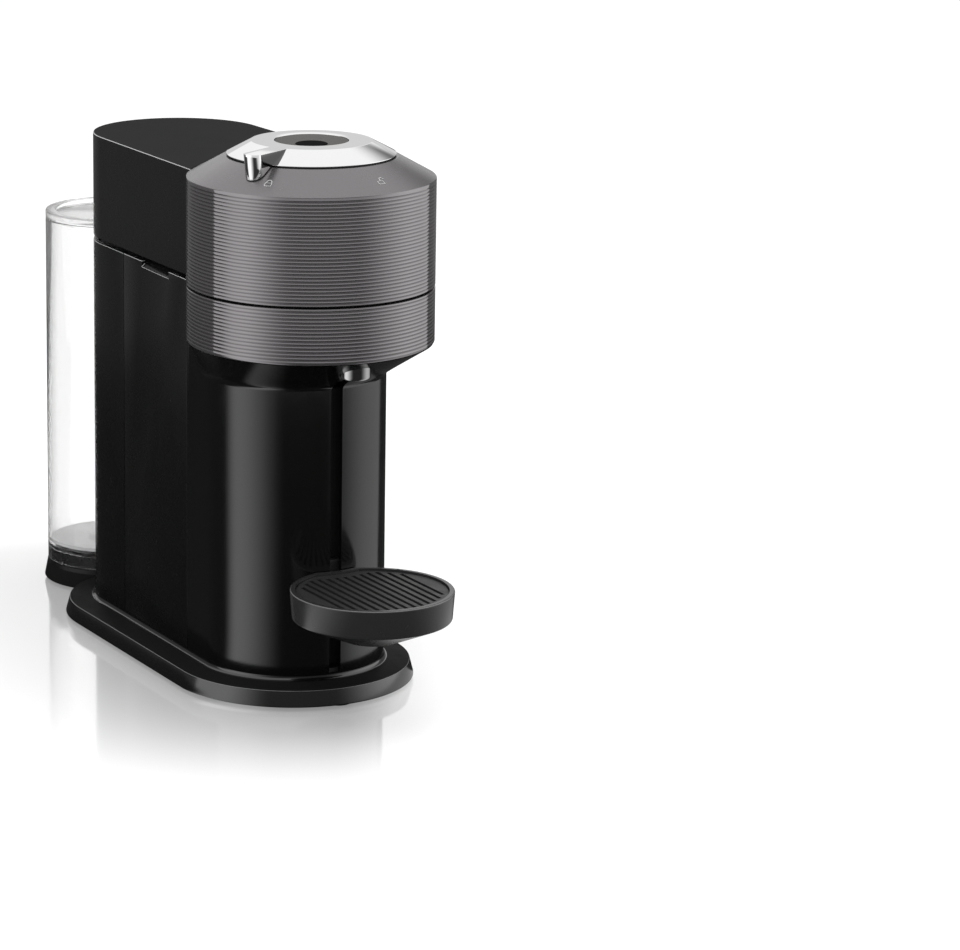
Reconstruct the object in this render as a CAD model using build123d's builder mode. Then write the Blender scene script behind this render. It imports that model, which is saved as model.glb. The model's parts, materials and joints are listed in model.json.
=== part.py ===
"""Pod coffee machine: foot, column, tilting brewing head, used capsule bin, cup support and water tank.

Millimetres, +Z up, the machine stands on z = 0, its front faces -Y and its left side is -X.
Each piece is one block below, and all of them share the sizes named here.
"""
import math
import os

from build123d import *

# Body in plan: a front circle and a rear circle joined by nearly parallel sides
column_y = -69.0
column_radius = 53.0
rear_y = 75.7
rear_taper = 2.6
wall = 2.5
panel_gap = 0.8

# Clearances, small roundings and the overshoot of a cut
fit_gap = 0.2
slide_gap = 0.3
run_clearance = 0.05
edge_round = 1.0
cut_margin = 1.0

# Heights: the ring's top is the overall height, and the hood and the head hang from it
ring_top = 314.0
ring_height = 7.7
ring_rise = 0.6
shoulder_rise = 11.8
cover_drop = 19.5
split_drop = 80.7
split_gap = 1.3
seam_step = 1.6
feet_height = 2.4
body_bottom = 15.6

# Foot and the drum under the tank
foot_margin = 17.4
foot_taper = 2.0
foot_draft = 2.4
foot_edge_z = 11.6
foot_slope = 1.4
foot_fillet = 2.7
foot_wall = 3.0
foot_roof = 2.0
cover_plate = 2.0
pad_radius = 8.0
screw_inset = 14.0
screw_radius = 1.5
screw_length = 8.0
screw_head_radius = 3.0
screw_head_height = 1.2

# Brewing head, round about its own upright axis, with fine level ridges
head_offset = 21.0
head_radius = 69.4
skirt_width = 9.0
head_bottom_round = 1.5
shoulder_top_radius = 48.2
shoulder_round = 0.8
neck_lip = 1.4
ridge_pitch = 2.0
ridge_depth = 0.3
ridge_margin = 0.6

# Chrome locking ring, its lever, the dish and the button
ring_slope = 14.2
ring_lip = 1.0
ring_thickness = 3.0
lever_angle = 208.5
lever_inset = 7.4
lever_width = 11.3
dish_radius = 20.3
dish_rim = 0.7
dish_depth = 2.6
dish_wall = 3.0
dish_tube_radius = 18.0
button_radius = 8.8
button_height = 2.6
button_travel = 1.5
stem_radius = 4.0
stem_length = 12.0
switch_size = 12.0
switch_height = 9.0
sleeve_gap = 0.9
sleeve_wall = 2.0
lug_inset = 9.4
lug_height = 4.0
lug_count = 3
lug_width = 16.0

# Side bay for the used capsule bin
bay_margin = 3.4
bay_back = 45.0
bulkhead = 2.5
bin_wall = 2.0
bin_headroom = 4.0
bin_margin = 11.0
notch_width = 36.5
notch_depth = 4.5
chute_width = 72.0

# Brewing chamber and the capsule drive on the head axis
deck = 2.5
deck_drop = 4.8
chamber_inset = 16.4
chamber_gap = 1.5
chamber_flange = 4.0
chamber_rise = 2.8
chamber_wall = 2.0
chamber_lip = 2.5
holder_radius = 33.0
holder_bore = 30.0
holder_stand = 0.5
holder_height = 20.0
holder_rise = 5.0
holder_hub = 9.0
holder_slots = 12
spindle_radius = 5.0
spindle_tail_radius = 3.0
spindle_drop = 18.0
seal_band = 2.0
bearing_radius = 11.0
bearing_height = 5.0
bearing_block_radius = 16.0
bearing_block_height = 15.0
motor_gap = 1.5
motor_length = 58.0
motor_drop = 36.0
motor_plate = 3.0
drain_radius = 3.0

# Parts inside the tilting hood
hood_plate = 3.0
hood_rise = 2.7
injector_inset = 7.5
injector_thickness = 4.0
injector_hub = 8.0
hub_gap = 0.5
needle_radius = 1.4
needle_length = 10.0
needle_tip = 3.0
block_gap = 1.9
block_height = 24.0
cavity_gap = 1.5
seal_width = 3.0
water_boss_radius = 6.0
water_boss_height = 12.0

# Hinge of the hood, along X
hinge_inset = 3.5
hinge_rise = 5.2
hinge_pin_radius = 1.5
hinge_eye_radius = 3.4
knuckle_half = 7.9
ear_thickness = 5.0
ear_depth = 6.0
ear_height = 33.5
hinge_window = 15.5
hinge_window_rise = 5.5

# Coffee outlet and the neck under the head
neck_height = 22.6
neck_steps = 6
neck_inset = 0.6
neck_bend = 0.1
neck_blend = 0.06
outlet_inset = 17.0
outlet_radius = 8.5
outlet_drop = 11.7
outlet_wall = 2.0
outlet_round = 1.6
nozzle_bore = 3.0

# Cup support in its slot
slot_width = 7.2
slot_drop = 13.7
tray_offset = 42.3
tray_radius = 45.5
tray_draft = 1.2
tray_top = 75.5
tray_height = 16.1
tray_belly = 12.5
tray_belly_radius = 15.3
tray_wall = 3.0
tray_floor = 2.5
tray_gap = 0.8
grid_thickness = 2.5
grid_recess = 1.2
grid_ledge = 2.0
grid_slot = 2.4
grid_pitch = 5.2
grid_rim = 3.0
arm_drop = 15.0
arm_height = 13.5
carriage_width = 18.0
carriage_height = 20.0
carriage_depth = 6.0
rail_setback = 2.0
rail_wall = 3.5
rail_back = 2.0
rail_drop = 10.0

# Water tank on its drum
tank_radius = 40.6
tank_clearance = 1.3
tank_wall = 2.2
tank_bottom = 14.6
tank_floor_z = 28.0
tank_floor = 2.0
tank_drop = 4.8
drum_margin = 2.3
drum_plate = 2.5
boss_radius = 28.0
boss_height = 6.0
valve_radius = 6.0
valve_drop = 4.0
socket_radius = 11.0
gasket_width = 4.0
lid_height = 4.6
lid_rim = 6.5
lid_recess = 2.4
lid_skirt_inset = 4.4
lid_skirt = 2.5
lid_plate = 2.0

# Water parts, heater and board in the rear compartment
unit_offset = 8.3
pump_radius = 17.0
pump_length = 62.0
pump_x = -22.0
pump_foot = 4.0
heater_width = 34.0
heater_depth = 30.0
heater_height = 92.0
heater_x = 23.0
heater_bottom = 96.0
meter_radius = 12.0
meter_height = 18.0
board_width = 40.0
board_height = 120.0
board_thickness = 1.6
board_bottom = 70.0
standoff = 3.0
hose_radius = 2.2
hose_offset = 32.3
hose_rise = 12.0
gland_radius = 4.2
gland_collar = 5.0
gland_reach = 4.0
gland_angle = 25.0

# Places and radii in plan that follow from the sizes above
rear_radius = column_radius - rear_taper
foot_front_radius = column_radius + foot_margin
foot_rear_radius = foot_front_radius - foot_taper
head_y = column_y - head_offset
skirt_hole = head_radius - skirt_width
neck_radius = shoulder_top_radius - neck_lip
ring_bottom_radius = shoulder_top_radius - slide_gap
ring_top_radius = ring_bottom_radius - ring_slope
sleeve_radius = neck_radius - sleeve_gap
lug_radius = head_radius - lug_inset
lever_reach = head_radius - lever_inset
block_radius = sleeve_radius - sleeve_wall - block_gap
injector_radius = block_radius - injector_inset
chamber_radius = head_radius - chamber_inset
outlet_y = head_y - head_radius + outlet_inset
tray_y = column_y - column_radius - tray_offset
tank_y = rear_y + rear_radius + tank_clearance + tank_radius
drum_radius = tank_radius + drum_margin
lid_skirt_radius = tank_radius - lid_skirt_inset
hinge_y = rear_y + rear_radius - hinge_inset
rear_unit_y = rear_y + unit_offset
hose_y = rear_y + hose_offset
bay_front = head_y + math.sqrt((head_radius + fit_gap) ** 2 - column_radius ** 2) + bay_margin
bin_right = column_radius - bin_margin
bulkhead_y = head_y + chamber_radius + chamber_gap
rear_bulkhead_y = bay_back + panel_gap
rail_front = column_y - column_radius + wall + rail_setback
rail_floor = rail_front + carriage_depth
motor_radius = head_y - rail_floor - rail_back - motor_gap
far = tank_y + drum_radius

# Heights that follow from the sizes above
ring_bottom = ring_top - ring_height
shoulder_top_z = ring_bottom - ring_rise
shoulder_edge_z = shoulder_top_z - shoulder_rise
shoulder_slope = shoulder_rise / (head_radius - shoulder_top_radius)
cover_top = ring_top - cover_drop
split_z = ring_top - split_drop
lower_top = split_z - split_gap / 2
panel_top = lower_top - seam_step
upper_bottom = split_z + split_gap / 2
hood_plate_z = split_z + hood_rise
block_bottom = hood_plate_z + hood_plate
block_top = block_bottom + block_height
hinge_z = split_z + hinge_rise
hinge_window_top = hinge_z + hinge_window_rise
ear_foot = hinge_z - ear_height
deck_top = split_z - deck_drop
deck_bottom = deck_top - deck
holder_top = deck_top + holder_stand
holder_bottom = holder_top - holder_height
chamber_floor = holder_bottom - holder_rise
head_bottom = chamber_floor - chamber_rise
spindle_step = chamber_floor - spindle_drop
motor_top = chamber_floor - motor_drop
neck_start = head_bottom - neck_height
outlet_bottom = head_bottom - outlet_drop
slot_top = head_bottom - slot_drop
rail_top = slot_top - rail_drop
bay_floor = body_bottom + bulkhead
bin_top = deck_bottom - bin_headroom
tray_bottom = tray_top - tray_height
arm_bottom = tray_top - arm_drop
tank_top = split_z - tank_drop
drum_top = tank_bottom - slide_gap

STAND = (Align.CENTER, Align.CENTER, Align.MIN)
UP = (0, 0, 1)
HIGH = cover_top + head_radius


def hull_outline(height, front_radius, back_radius):
    """Two circles on the body's centres, joined by their outer tangents."""
    with BuildSketch(Plane.XY.offset(height)) as outline:
        with Locations((0, column_y)):
            Circle(front_radius)
        with Locations((0, rear_y)):
            Circle(back_radius)
        make_hull()
    return outline.sketch


def body_prism(bottom, top, inset, mode=Mode.ADD):
    """The body's plan, drawn in by inset, between two heights."""
    outline = hull_outline(bottom, column_radius - inset, rear_radius - inset)
    extrude(outline, amount=top - bottom, dir=UP, mode=mode)


def foot_prism(bottom, top, inset, mode=Mode.ADD):
    """The foot's plan and the drum behind it, drawn in by inset, between two heights."""
    outline = hull_outline(bottom, foot_front_radius - inset, foot_rear_radius - inset)
    extrude(outline, amount=top - bottom, dir=UP, mode=mode)
    disc(tank_y, drum_radius - inset, bottom, top, mode)


def disc(centre_y, radius, bottom, top, mode=Mode.ADD, centre_x=0.0):
    """An upright round solid."""
    with Locations((centre_x, centre_y, bottom)):
        Cylinder(radius, top - bottom, align=STAND, mode=mode)


def block(x_span, y_span, z_span, mode=Mode.ADD):
    """A box given by its spans."""
    spans = (x_span, y_span, z_span)
    with Locations(tuple((low + high) / 2 for low, high in spans)):
        Box(*(high - low for low, high in spans), mode=mode)


def turned(centre_y, points, mode=Mode.ADD):
    """A section of (radius, height) points turned about an upright axis."""
    with BuildSketch(Plane.XZ.offset(-centre_y)) as section:
        with BuildLine():
            Polyline(*points, close=True)
        make_face()
    revolve(section.sketch, axis=Axis((0, centre_y, 0), UP), mode=mode)


def ridged(bottom, top):
    """Points up the head's side between two heights: level ridges with sloping flanks."""
    count = round((top - bottom) / ridge_pitch)
    pitch = (top - bottom) / count
    points = []
    for ridge in range(count):
        foot = bottom + ridge * pitch
        points += [(head_radius - ridge_depth, foot), (head_radius, foot + pitch / 4),
                   (head_radius, foot + pitch * 3 / 4)]
    return points + [(head_radius - ridge_depth, top)]


def slot_cut():
    """The cup support's upright slot with its round top, cut out of the column and the neck."""
    with BuildSketch(Plane.XZ.offset(-column_y)) as outline:
        with Locations((0, slot_top - slot_width / 2)):
            Circle(slot_width / 2)
            Rectangle(slot_width, slot_top, align=(Align.CENTER, Align.MAX))
    extrude(outline.sketch, amount=column_radius + head_offset, mode=Mode.SUBTRACT)


def flare(rise):
    """How far the neck has widened at this share of its height, before scaling."""
    return math.hypot(rise - neck_bend, neck_blend) + rise


def cross_rod(x_span, radius, mode=Mode.ADD):
    """A round rod along X on the hinge axis."""
    with BuildSketch(Plane.YZ.offset(x_span[0])) as section:
        with Locations((hinge_y, hinge_z)):
            Circle(radius)
    extrude(section.sketch, amount=x_span[1] - x_span[0], mode=mode)


# Foot: a skirt that widens downwards, a sloping top and a filleted collar that the body stands on
slope_top = foot_edge_z + foot_slope
cavity_top = foot_edge_z - foot_roof
drum_deck = drum_top - drum_plate
screw_reach = column_radius - screw_inset
screw_places = [(side * screw_reach, y) for y in (column_y, rear_y) for side in (-1, 1)]

with BuildPart() as base_foot:
    lower = hull_outline(feet_height, foot_front_radius, foot_rear_radius)
    edge = hull_outline(foot_edge_z, foot_front_radius - foot_draft, foot_rear_radius - foot_draft)
    crest = hull_outline(slope_top, column_radius + foot_fillet, rear_radius + foot_fillet)
    loft([lower, edge], ruled=True)
    loft([edge, crest], ruled=True)
    body_prism(foot_edge_z, body_bottom, 0)
    level = base_foot.faces().filter_by(lambda face: abs(face.center().Z - slope_top) < fit_gap)
    step = level.sort_by(Axis.Z)[-1]
    fillet(step.inner_wires()[0].edges(), radius=foot_fillet - fit_gap)
    disc(tank_y, drum_radius + fit_gap, drum_deck, HIGH, Mode.SUBTRACT)
    disc(tank_y, drum_radius, feet_height, drum_deck)
    foot_prism(feet_height, cavity_top, foot_wall + foot_draft, Mode.SUBTRACT)
    disc(tank_y, drum_radius - foot_wall, feet_height, drum_deck, Mode.SUBTRACT)
    body_prism(cavity_top, body_bottom - foot_wall, foot_wall + drum_plate, Mode.SUBTRACT)
    with Locations(*[(x, y, feet_height + cover_plate) for x, y in screw_places]):
        Cylinder(2 * screw_radius, body_bottom - foot_wall - feet_height - cover_plate, align=STAND)
        Cylinder(screw_radius + run_clearance, screw_length, align=STAND, mode=Mode.SUBTRACT)
    disc(hose_y, hose_radius + fit_gap, 0, HIGH, Mode.SUBTRACT)
    with Locations(Location((0, tank_y, (feet_height + drum_deck) / 2), (0, 0, gland_angle))):
        with Locations(Location((drum_radius - foot_wall / 2, 0, 0), (0, 90, 0))):
            Cylinder(gland_radius, 3 * foot_wall, mode=Mode.SUBTRACT)

# Plate that closes the foot from below
with BuildPart() as bottom_cover:
    foot_prism(feet_height, feet_height + cover_plate, foot_wall + foot_draft + fit_gap)
    with Locations(*[(x, y, feet_height) for x, y in screw_places]):
        Cylinder(screw_radius + run_clearance, cover_plate, align=STAND, mode=Mode.SUBTRACT)
        Cylinder(screw_head_radius + fit_gap, screw_head_height, align=STAND, mode=Mode.SUBTRACT)

# Screws that hold the plate, heads sunk level with it
with BuildPart() as cover_screws:
    with Locations(*[(x, y, feet_height) for x, y in screw_places]):
        Cylinder(screw_head_radius, screw_head_height, align=STAND)
        Cylinder(screw_radius, screw_length, align=STAND)

# Rubber pads under the foot and under the drum
pad_reach = foot_front_radius - foot_wall - foot_draft - pad_radius - fit_gap
pad_places = [(-pad_reach, column_y), (pad_reach, column_y), (-pad_reach, rear_y - pad_radius),
              (pad_reach, rear_y - pad_radius), (0, column_y - pad_reach), (0, tank_y + drum_radius / 2)]
with BuildPart() as rubber_feet:
    with Locations(*[(x, y, 0) for x, y in pad_places]):
        Cylinder(pad_radius, feet_height, align=STAND)
    chamfer(rubber_feet.edges().filter_by_position(Axis.Z, 0, 0), length=feet_height / 4)

# Plate on the drum that the tank stands on, with the raised valve socket
with BuildPart() as tank_seat:
    turned(tank_y, [
        (socket_radius - gasket_width, drum_deck), (drum_radius, drum_deck), (drum_radius, drum_top),
        (boss_radius, drum_top), (boss_radius, drum_top + boss_height),
        (socket_radius, drum_top + boss_height), (socket_radius, drum_top),
        (socket_radius - gasket_width, drum_top)])
    fillet(tank_seat.edges().filter_by_position(Axis.Z, drum_top + boss_height, drum_top + boss_height)
           .sort_by(SortBy.LENGTH)[-1], radius=boss_height / 4)

# Soft ring in the socket that seals against the tank's valve
with BuildPart() as valve_gasket:
    disc(tank_y, socket_radius, drum_top, drum_top + boss_height / 3)
    disc(tank_y, socket_radius - gasket_width, drum_top, HIGH, Mode.SUBTRACT)

# Bush in the drum's wall for the mains lead
with BuildPart() as cord_gland:
    gland_plane = Plane(Location((0, tank_y, (feet_height + drum_deck) / 2), (0, 0, gland_angle)))
    gland_side = Plane(gland_plane.origin + gland_plane.x_dir * (drum_radius - foot_wall),
                       x_dir=gland_plane.y_dir, z_dir=gland_plane.x_dir)
    with BuildSketch(gland_side):
        Circle(gland_radius - run_clearance)
    extrude(amount=foot_wall + gland_reach)
    with BuildSketch(gland_side.offset(foot_wall + fit_gap)):
        Circle(gland_collar)
    extrude(amount=gland_reach)
    with BuildSketch(gland_side):
        Circle(gland_radius / 2)
    extrude(amount=2 * foot_wall + gland_reach, mode=Mode.SUBTRACT)

# Chassis: a floor on the collar and two bulkheads on either side of the capsule bay
with BuildPart() as chassis:
    body_prism(body_bottom, deck_bottom, wall + slide_gap)
    block((-far, far), (-far, bulkhead_y), (bay_floor, HIGH), Mode.SUBTRACT)
    block((-far, far), (bulkhead_y + bulkhead, rear_bulkhead_y), (bay_floor, HIGH), Mode.SUBTRACT)
    block((-far, far), (rear_bulkhead_y + bulkhead, far), (bay_floor, HIGH), Mode.SUBTRACT)
    block((-far, -column_radius + wall + cut_margin), (bulkhead_y - cut_margin, rear_bulkhead_y - fit_gap),
          (bay_floor, HIGH), Mode.SUBTRACT)
    disc(hose_y, hose_radius + fit_gap, 0, bay_floor, Mode.SUBTRACT)

# Front column: gloss shell with the upright slot of the cup support
with BuildPart() as front_column:
    body_prism(body_bottom, lower_top, 0)
    body_prism(body_bottom, lower_top, wall, Mode.SUBTRACT)
    block((-far, far), (bay_front - panel_gap / 2, far), (0, HIGH), Mode.SUBTRACT)
    disc(head_y, head_radius + fit_gap, head_bottom, HIGH, Mode.SUBTRACT)
    slot_cut()

# Rear housing: satin shell round the pump compartment
with BuildPart() as rear_housing:
    body_prism(body_bottom, panel_top, 0)
    body_prism(body_bottom, panel_top, wall, Mode.SUBTRACT)
    block((-far, far), (-far, bay_back + panel_gap / 2), (0, HIGH), Mode.SUBTRACT)

# Fixed panel on the right, opposite the bin
with BuildPart() as right_panel:
    body_prism(body_bottom, panel_top, 0)
    body_prism(body_bottom, panel_top, wall, Mode.SUBTRACT)
    block((-far, 0), (-far, far), (0, HIGH), Mode.SUBTRACT)
    block((-far, far), (-far, bay_front + panel_gap / 2), (0, HIGH), Mode.SUBTRACT)
    block((-far, far), (bay_back - panel_gap / 2, far), (0, HIGH), Mode.SUBTRACT)

# Guide channel behind the slot
with BuildPart() as slide_rail:
    half = carriage_width / 2 + slide_gap
    half_rail = half + rail_wall
    block((-half_rail, half_rail), (rail_front, rail_floor + rail_back), (bay_floor, rail_top))
    block((-half, half), (rail_front, rail_floor), (bay_floor, rail_top), Mode.SUBTRACT)

# Neck: the flare between the column and the underside of the head
with BuildPart() as neck_collar:
    sections = []
    for step_index in range(neck_steps + 1):
        rise = (step_index / neck_steps) ** 2
        share = (flare(rise) - flare(0)) / (flare(1) - flare(0))
        with BuildSketch(Plane.XY.offset(neck_start + neck_height * rise)) as section:
            with Locations((0, column_y - head_offset * share)):
                Circle(column_radius + (head_radius - neck_inset - column_radius) * share)
        sections.append(section.sketch)
    loft(sections, ruled=True)
    disc(head_y, skirt_hole - fit_gap, head_bottom, head_bottom + chamber_wall)
    body_prism(0, HIGH, -fit_gap, Mode.SUBTRACT)
    disc(outlet_y, outlet_radius + fit_gap, 0, HIGH, Mode.SUBTRACT)
    slot_cut()

# Lower half of the head: a ridged skirt with a narrow floor above the neck
inner_radius = head_radius - wall
with BuildPart() as lower_head_ring:
    turned(head_y, [
        (skirt_hole, head_bottom), (head_radius, head_bottom),
        *ridged(head_bottom + head_bottom_round + ridge_margin, lower_top - ridge_margin),
        (head_radius, lower_top),
        (inner_radius, lower_top), (inner_radius, head_bottom + chamber_wall),
        (skirt_hole, head_bottom + chamber_wall)])
    outer_edge = lower_head_ring.edges().filter_by_position(Axis.Z, head_bottom, head_bottom)
    fillet(outer_edge.sort_by(SortBy.LENGTH)[-1], radius=head_bottom_round)
    body_prism(0, HIGH, -fit_gap, Mode.SUBTRACT)
    disc(outlet_y, outlet_radius + fit_gap, 0, HIGH, Mode.SUBTRACT)

# Deck across the top of the lower body, open over the chamber and over the bin
chute_front = bulkhead_y + bulkhead
with BuildPart() as deck_plate:
    body_prism(deck_bottom, deck_top, wall + 2 * slide_gap)
    disc(head_y, inner_radius - fit_gap, deck_bottom, deck_top)
    block((-far, far), (hinge_y - 2 * ear_depth - slide_gap, far), (deck_bottom, deck_top), Mode.SUBTRACT)
    disc(head_y, chamber_radius + fit_gap, deck_bottom, deck_top, Mode.SUBTRACT)
    block((-chute_width / 2, chute_width / 2), (chute_front, rear_bulkhead_y - wall),
          (deck_bottom, deck_top), Mode.SUBTRACT)

# Chamber that catches the coffee flung out of the capsule
chamber_top = deck_top + chamber_lip
chamber_bore = chamber_radius - chamber_wall
seal_radius = spindle_radius + seal_band
seal_top = chamber_floor + chamber_wall
drain_y = outlet_y + outlet_radius - drain_radius
with BuildPart() as brew_chamber:
    turned(head_y, [
        (seal_radius, chamber_floor), (chamber_radius, chamber_floor), (chamber_radius, deck_top),
        (chamber_radius + chamber_flange, deck_top), (chamber_radius + chamber_flange, chamber_top),
        (chamber_bore, chamber_top), (chamber_bore, seal_top), (seal_radius, seal_top)])
    disc(drain_y, drain_radius, chamber_floor, seal_top, Mode.SUBTRACT)

# Chrome spout under the head, with the dark nozzle inside it
with BuildPart() as coffee_outlet:
    disc(outlet_y, outlet_radius, outlet_bottom, chamber_floor)
    fillet(coffee_outlet.edges().group_by(Axis.Z)[0], radius=outlet_round)
    disc(outlet_y, outlet_radius - outlet_wall, outlet_bottom, chamber_floor, Mode.SUBTRACT)

with BuildPart() as outlet_nozzle:
    nozzle_radius = outlet_radius - outlet_wall
    turned(outlet_y, [
        (nozzle_bore, outlet_bottom + outlet_wall), (nozzle_radius, outlet_bottom + outlet_wall),
        (nozzle_radius, chamber_floor), (nozzle_radius - fit_gap, chamber_floor),
        (nozzle_bore, chamber_floor - outlet_radius)])

# Motor, its bracket, the bearing block and the running shaft
mount_top = motor_top + motor_plate
with BuildPart() as drive_motor:
    disc(head_y, motor_radius, motor_top - motor_length, motor_top)
    chamfer(drive_motor.edges().group_by(Axis.Z)[0], length=motor_plate)
    disc(head_y, spindle_tail_radius + run_clearance, motor_top - motor_length / 4, motor_top, Mode.SUBTRACT)

with BuildPart() as motor_bracket:
    mount_half = motor_radius + motor_plate
    block((-mount_half, mount_half), (head_y - motor_radius, bulkhead_y), (motor_top, mount_top))
    block((-mount_half, mount_half), (bulkhead_y - motor_plate, bulkhead_y),
          (motor_top - motor_length / 2, motor_top))
    disc(head_y, 2 * spindle_tail_radius, motor_top, mount_top, Mode.SUBTRACT)

block_foot = chamber_floor - bearing_block_height
with BuildPart() as bearing_block:
    turned(head_y, [
        (seal_radius, block_foot), (bearing_block_radius, block_foot),
        (bearing_block_radius, chamber_floor), (bearing_radius, chamber_floor),
        (bearing_radius, block_foot + outlet_wall), (seal_radius, block_foot + outlet_wall)])

with BuildPart() as spindle_bearings:
    for bearing_bottom in (block_foot + outlet_wall, chamber_floor - bearing_height - fit_gap):
        disc(head_y, bearing_radius, bearing_bottom, bearing_bottom + bearing_height)
    disc(head_y, spindle_radius + run_clearance, 0, HIGH, Mode.SUBTRACT)

with BuildPart() as shaft_seal:
    disc(head_y, seal_radius, chamber_floor, seal_top)
    disc(head_y, spindle_radius + slide_gap, chamber_floor, seal_top, Mode.SUBTRACT)

with BuildPart() as spindle:
    disc(head_y, spindle_tail_radius, motor_top - motor_length / 4 + slide_gap, spindle_step)
    disc(head_y, spindle_radius, spindle_step, holder_bottom)

# Cup that carries the capsule and spins with it
holder_wall = chamber_wall
holder_floor = holder_bottom + 2 * holder_wall
with BuildPart() as capsule_holder:
    turned(head_y, [
        (0, holder_bottom), (holder_hub, holder_bottom),
        (holder_hub + holder_wall, holder_bottom + holder_wall),
        (holder_bore, holder_bottom + holder_wall), (holder_bore + holder_wall, holder_floor),
        (holder_bore + holder_wall, holder_top - holder_wall), (holder_radius, holder_top - holder_wall),
        (holder_radius, holder_top), (holder_bore, holder_top), (holder_bore, holder_floor + holder_wall),
        (holder_hub, holder_floor), (0, holder_floor)])
    with Locations((0, head_y, holder_top)):
        with PolarLocations((holder_bore + holder_radius) / 2, holder_slots):
            Box(2 * holder_hub, holder_wall, holder_wall, mode=Mode.SUBTRACT)

# Pump on its rubber foot, flow meter, heater and board
pump_bottom = bay_floor + pump_foot
pump_top = pump_bottom + pump_length
unit_front = rear_bulkhead_y + bulkhead
with BuildPart() as pump_foot_pad:
    disc(rear_unit_y, pump_radius - pump_foot, bay_floor, pump_bottom, centre_x=pump_x)

with BuildPart() as water_pump:
    disc(rear_unit_y, pump_radius, pump_bottom, pump_top, centre_x=pump_x)
    chamfer(water_pump.edges().group_by(Axis.Z)[-1], length=pump_foot)
    with Locations((pump_x, rear_unit_y, pump_bottom + pump_length / 2)):
        Box(2 * pump_radius + pump_foot, pump_radius, pump_length / 3)

with BuildPart() as flow_meter:
    disc(hose_y, meter_radius, bay_floor, bay_floor + meter_height)
    fillet(flow_meter.edges().group_by(Axis.Z)[-1], radius=2 * edge_round)

with BuildPart() as heater:
    heater_front = unit_front + standoff
    block((heater_x - heater_width / 2, heater_x + heater_width / 2),
          (heater_front, heater_front + heater_depth), (heater_bottom, heater_bottom + heater_height))
    fillet(heater.edges().filter_by(Axis.Z), radius=standoff)
    for boss_z in (heater_bottom + heater_height / 4, heater_bottom + heater_height * 3 / 4):
        with BuildSketch(Plane.XZ.offset(-unit_front)):
            with Locations((heater_x, boss_z)):
                Circle(2 * standoff)
        extrude(amount=-standoff)

with BuildPart() as control_board:
    board_x = -board_width / 2 + heater_x - heater_width / 2 - standoff
    block((board_x - board_width / 2, board_x + board_width / 2),
          (unit_front + standoff, unit_front + standoff + board_thickness),
          (board_bottom, board_bottom + board_height))
    with BuildSketch(Plane.XZ.offset(-unit_front)):
        with Locations((board_x, board_bottom + board_height / 2)):
            with GridLocations(board_width - 4 * standoff, board_height - 4 * standoff, 2, 2):
                Circle(standoff)
    extrude(amount=-standoff)

with BuildPart() as water_hoses:
    duct_z = (feet_height + cover_plate + cavity_top) / 2
    meter_top = bay_floor + meter_height
    feed = [(0, tank_y, drum_deck), (0, tank_y, duct_z), (0, hose_y, duct_z), (0, hose_y, bay_floor)]
    loop_z = pump_top + hose_rise
    suction = [(0, hose_y, meter_top), (0, hose_y, loop_z), (pump_x, rear_unit_y, loop_z),
               (pump_x, rear_unit_y, pump_top)]
    for route in (feed, suction):
        with BuildLine() as path:
            FilletPolyline(*route, radius=hose_radius + edge_round)
        with BuildSketch(Plane(origin=route[0], z_dir=path.wires()[0] % 0)):
            Circle(hose_radius)
        sweep(path=path.wires()[0])

# Hinge: two ears on the rear wall and the pin between them
ear_span = (knuckle_half + slide_gap, knuckle_half + slide_gap + ear_thickness)
ear_back = rear_y + math.sqrt((rear_radius - wall) ** 2 - ear_span[1] ** 2) - fit_gap
with BuildPart() as hinge_ears:
    for side in (-1, 1):
        start = ear_span[0] if side > 0 else -ear_span[1]
        span = (start, start + ear_thickness)
        block(span, (ear_back - ear_depth, ear_back), (ear_foot, hinge_z + hinge_eye_radius))
        cross_rod(span, hinge_eye_radius)
    cross_rod((-ear_span[1], ear_span[1]), hinge_pin_radius, Mode.SUBTRACT)

with BuildPart() as hinge_pin:
    cross_rod((-ear_span[1], ear_span[1]), hinge_pin_radius)

# Used capsule bin: its outer face is the left side panel, with a finger notch at the top
bin_front = bulkhead_y + bulkhead + slide_gap
bin_back = bay_back - panel_gap / 2
bin_bottom = bay_floor + slide_gap
bin_left = -(rear_radius - 2 * wall)
notch_y = (bay_front + bay_back) / 2
with BuildPart() as face_panel:
    body_prism(body_bottom + slide_gap, panel_top, 0)
    body_prism(body_bottom + slide_gap, panel_top, wall, Mode.SUBTRACT)
    block((0, far), (-far, far), (0, HIGH), Mode.SUBTRACT)
    block((-far, far), (-far, bay_front + panel_gap / 2), (0, HIGH), Mode.SUBTRACT)
    block((-far, far), (bay_back - panel_gap / 2, far), (0, HIGH), Mode.SUBTRACT)

with BuildPart() as capsule_bin:
    block((-far, bin_right), (bin_front, bin_back), (bin_bottom, bin_top))
    body_prism(bin_bottom, bin_top, wall / 2, Mode.INTERSECT)
    block((bin_left, bin_right - bin_wall), (bin_front + bin_wall, bin_back - bin_wall),
          (bin_bottom + bin_wall, HIGH), Mode.SUBTRACT)
    add(face_panel.part)
    with BuildSketch(Plane.XZ.offset(-notch_y - notch_width / 2)):
        with BuildLine():
            outer_x = -column_radius - cut_margin
            Polyline((outer_x, panel_top - notch_depth - cut_margin), (outer_x, panel_top + cut_margin),
                     (bin_left, panel_top + cut_margin), close=True)
        make_face()
    extrude(amount=notch_width, mode=Mode.SUBTRACT)

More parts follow.
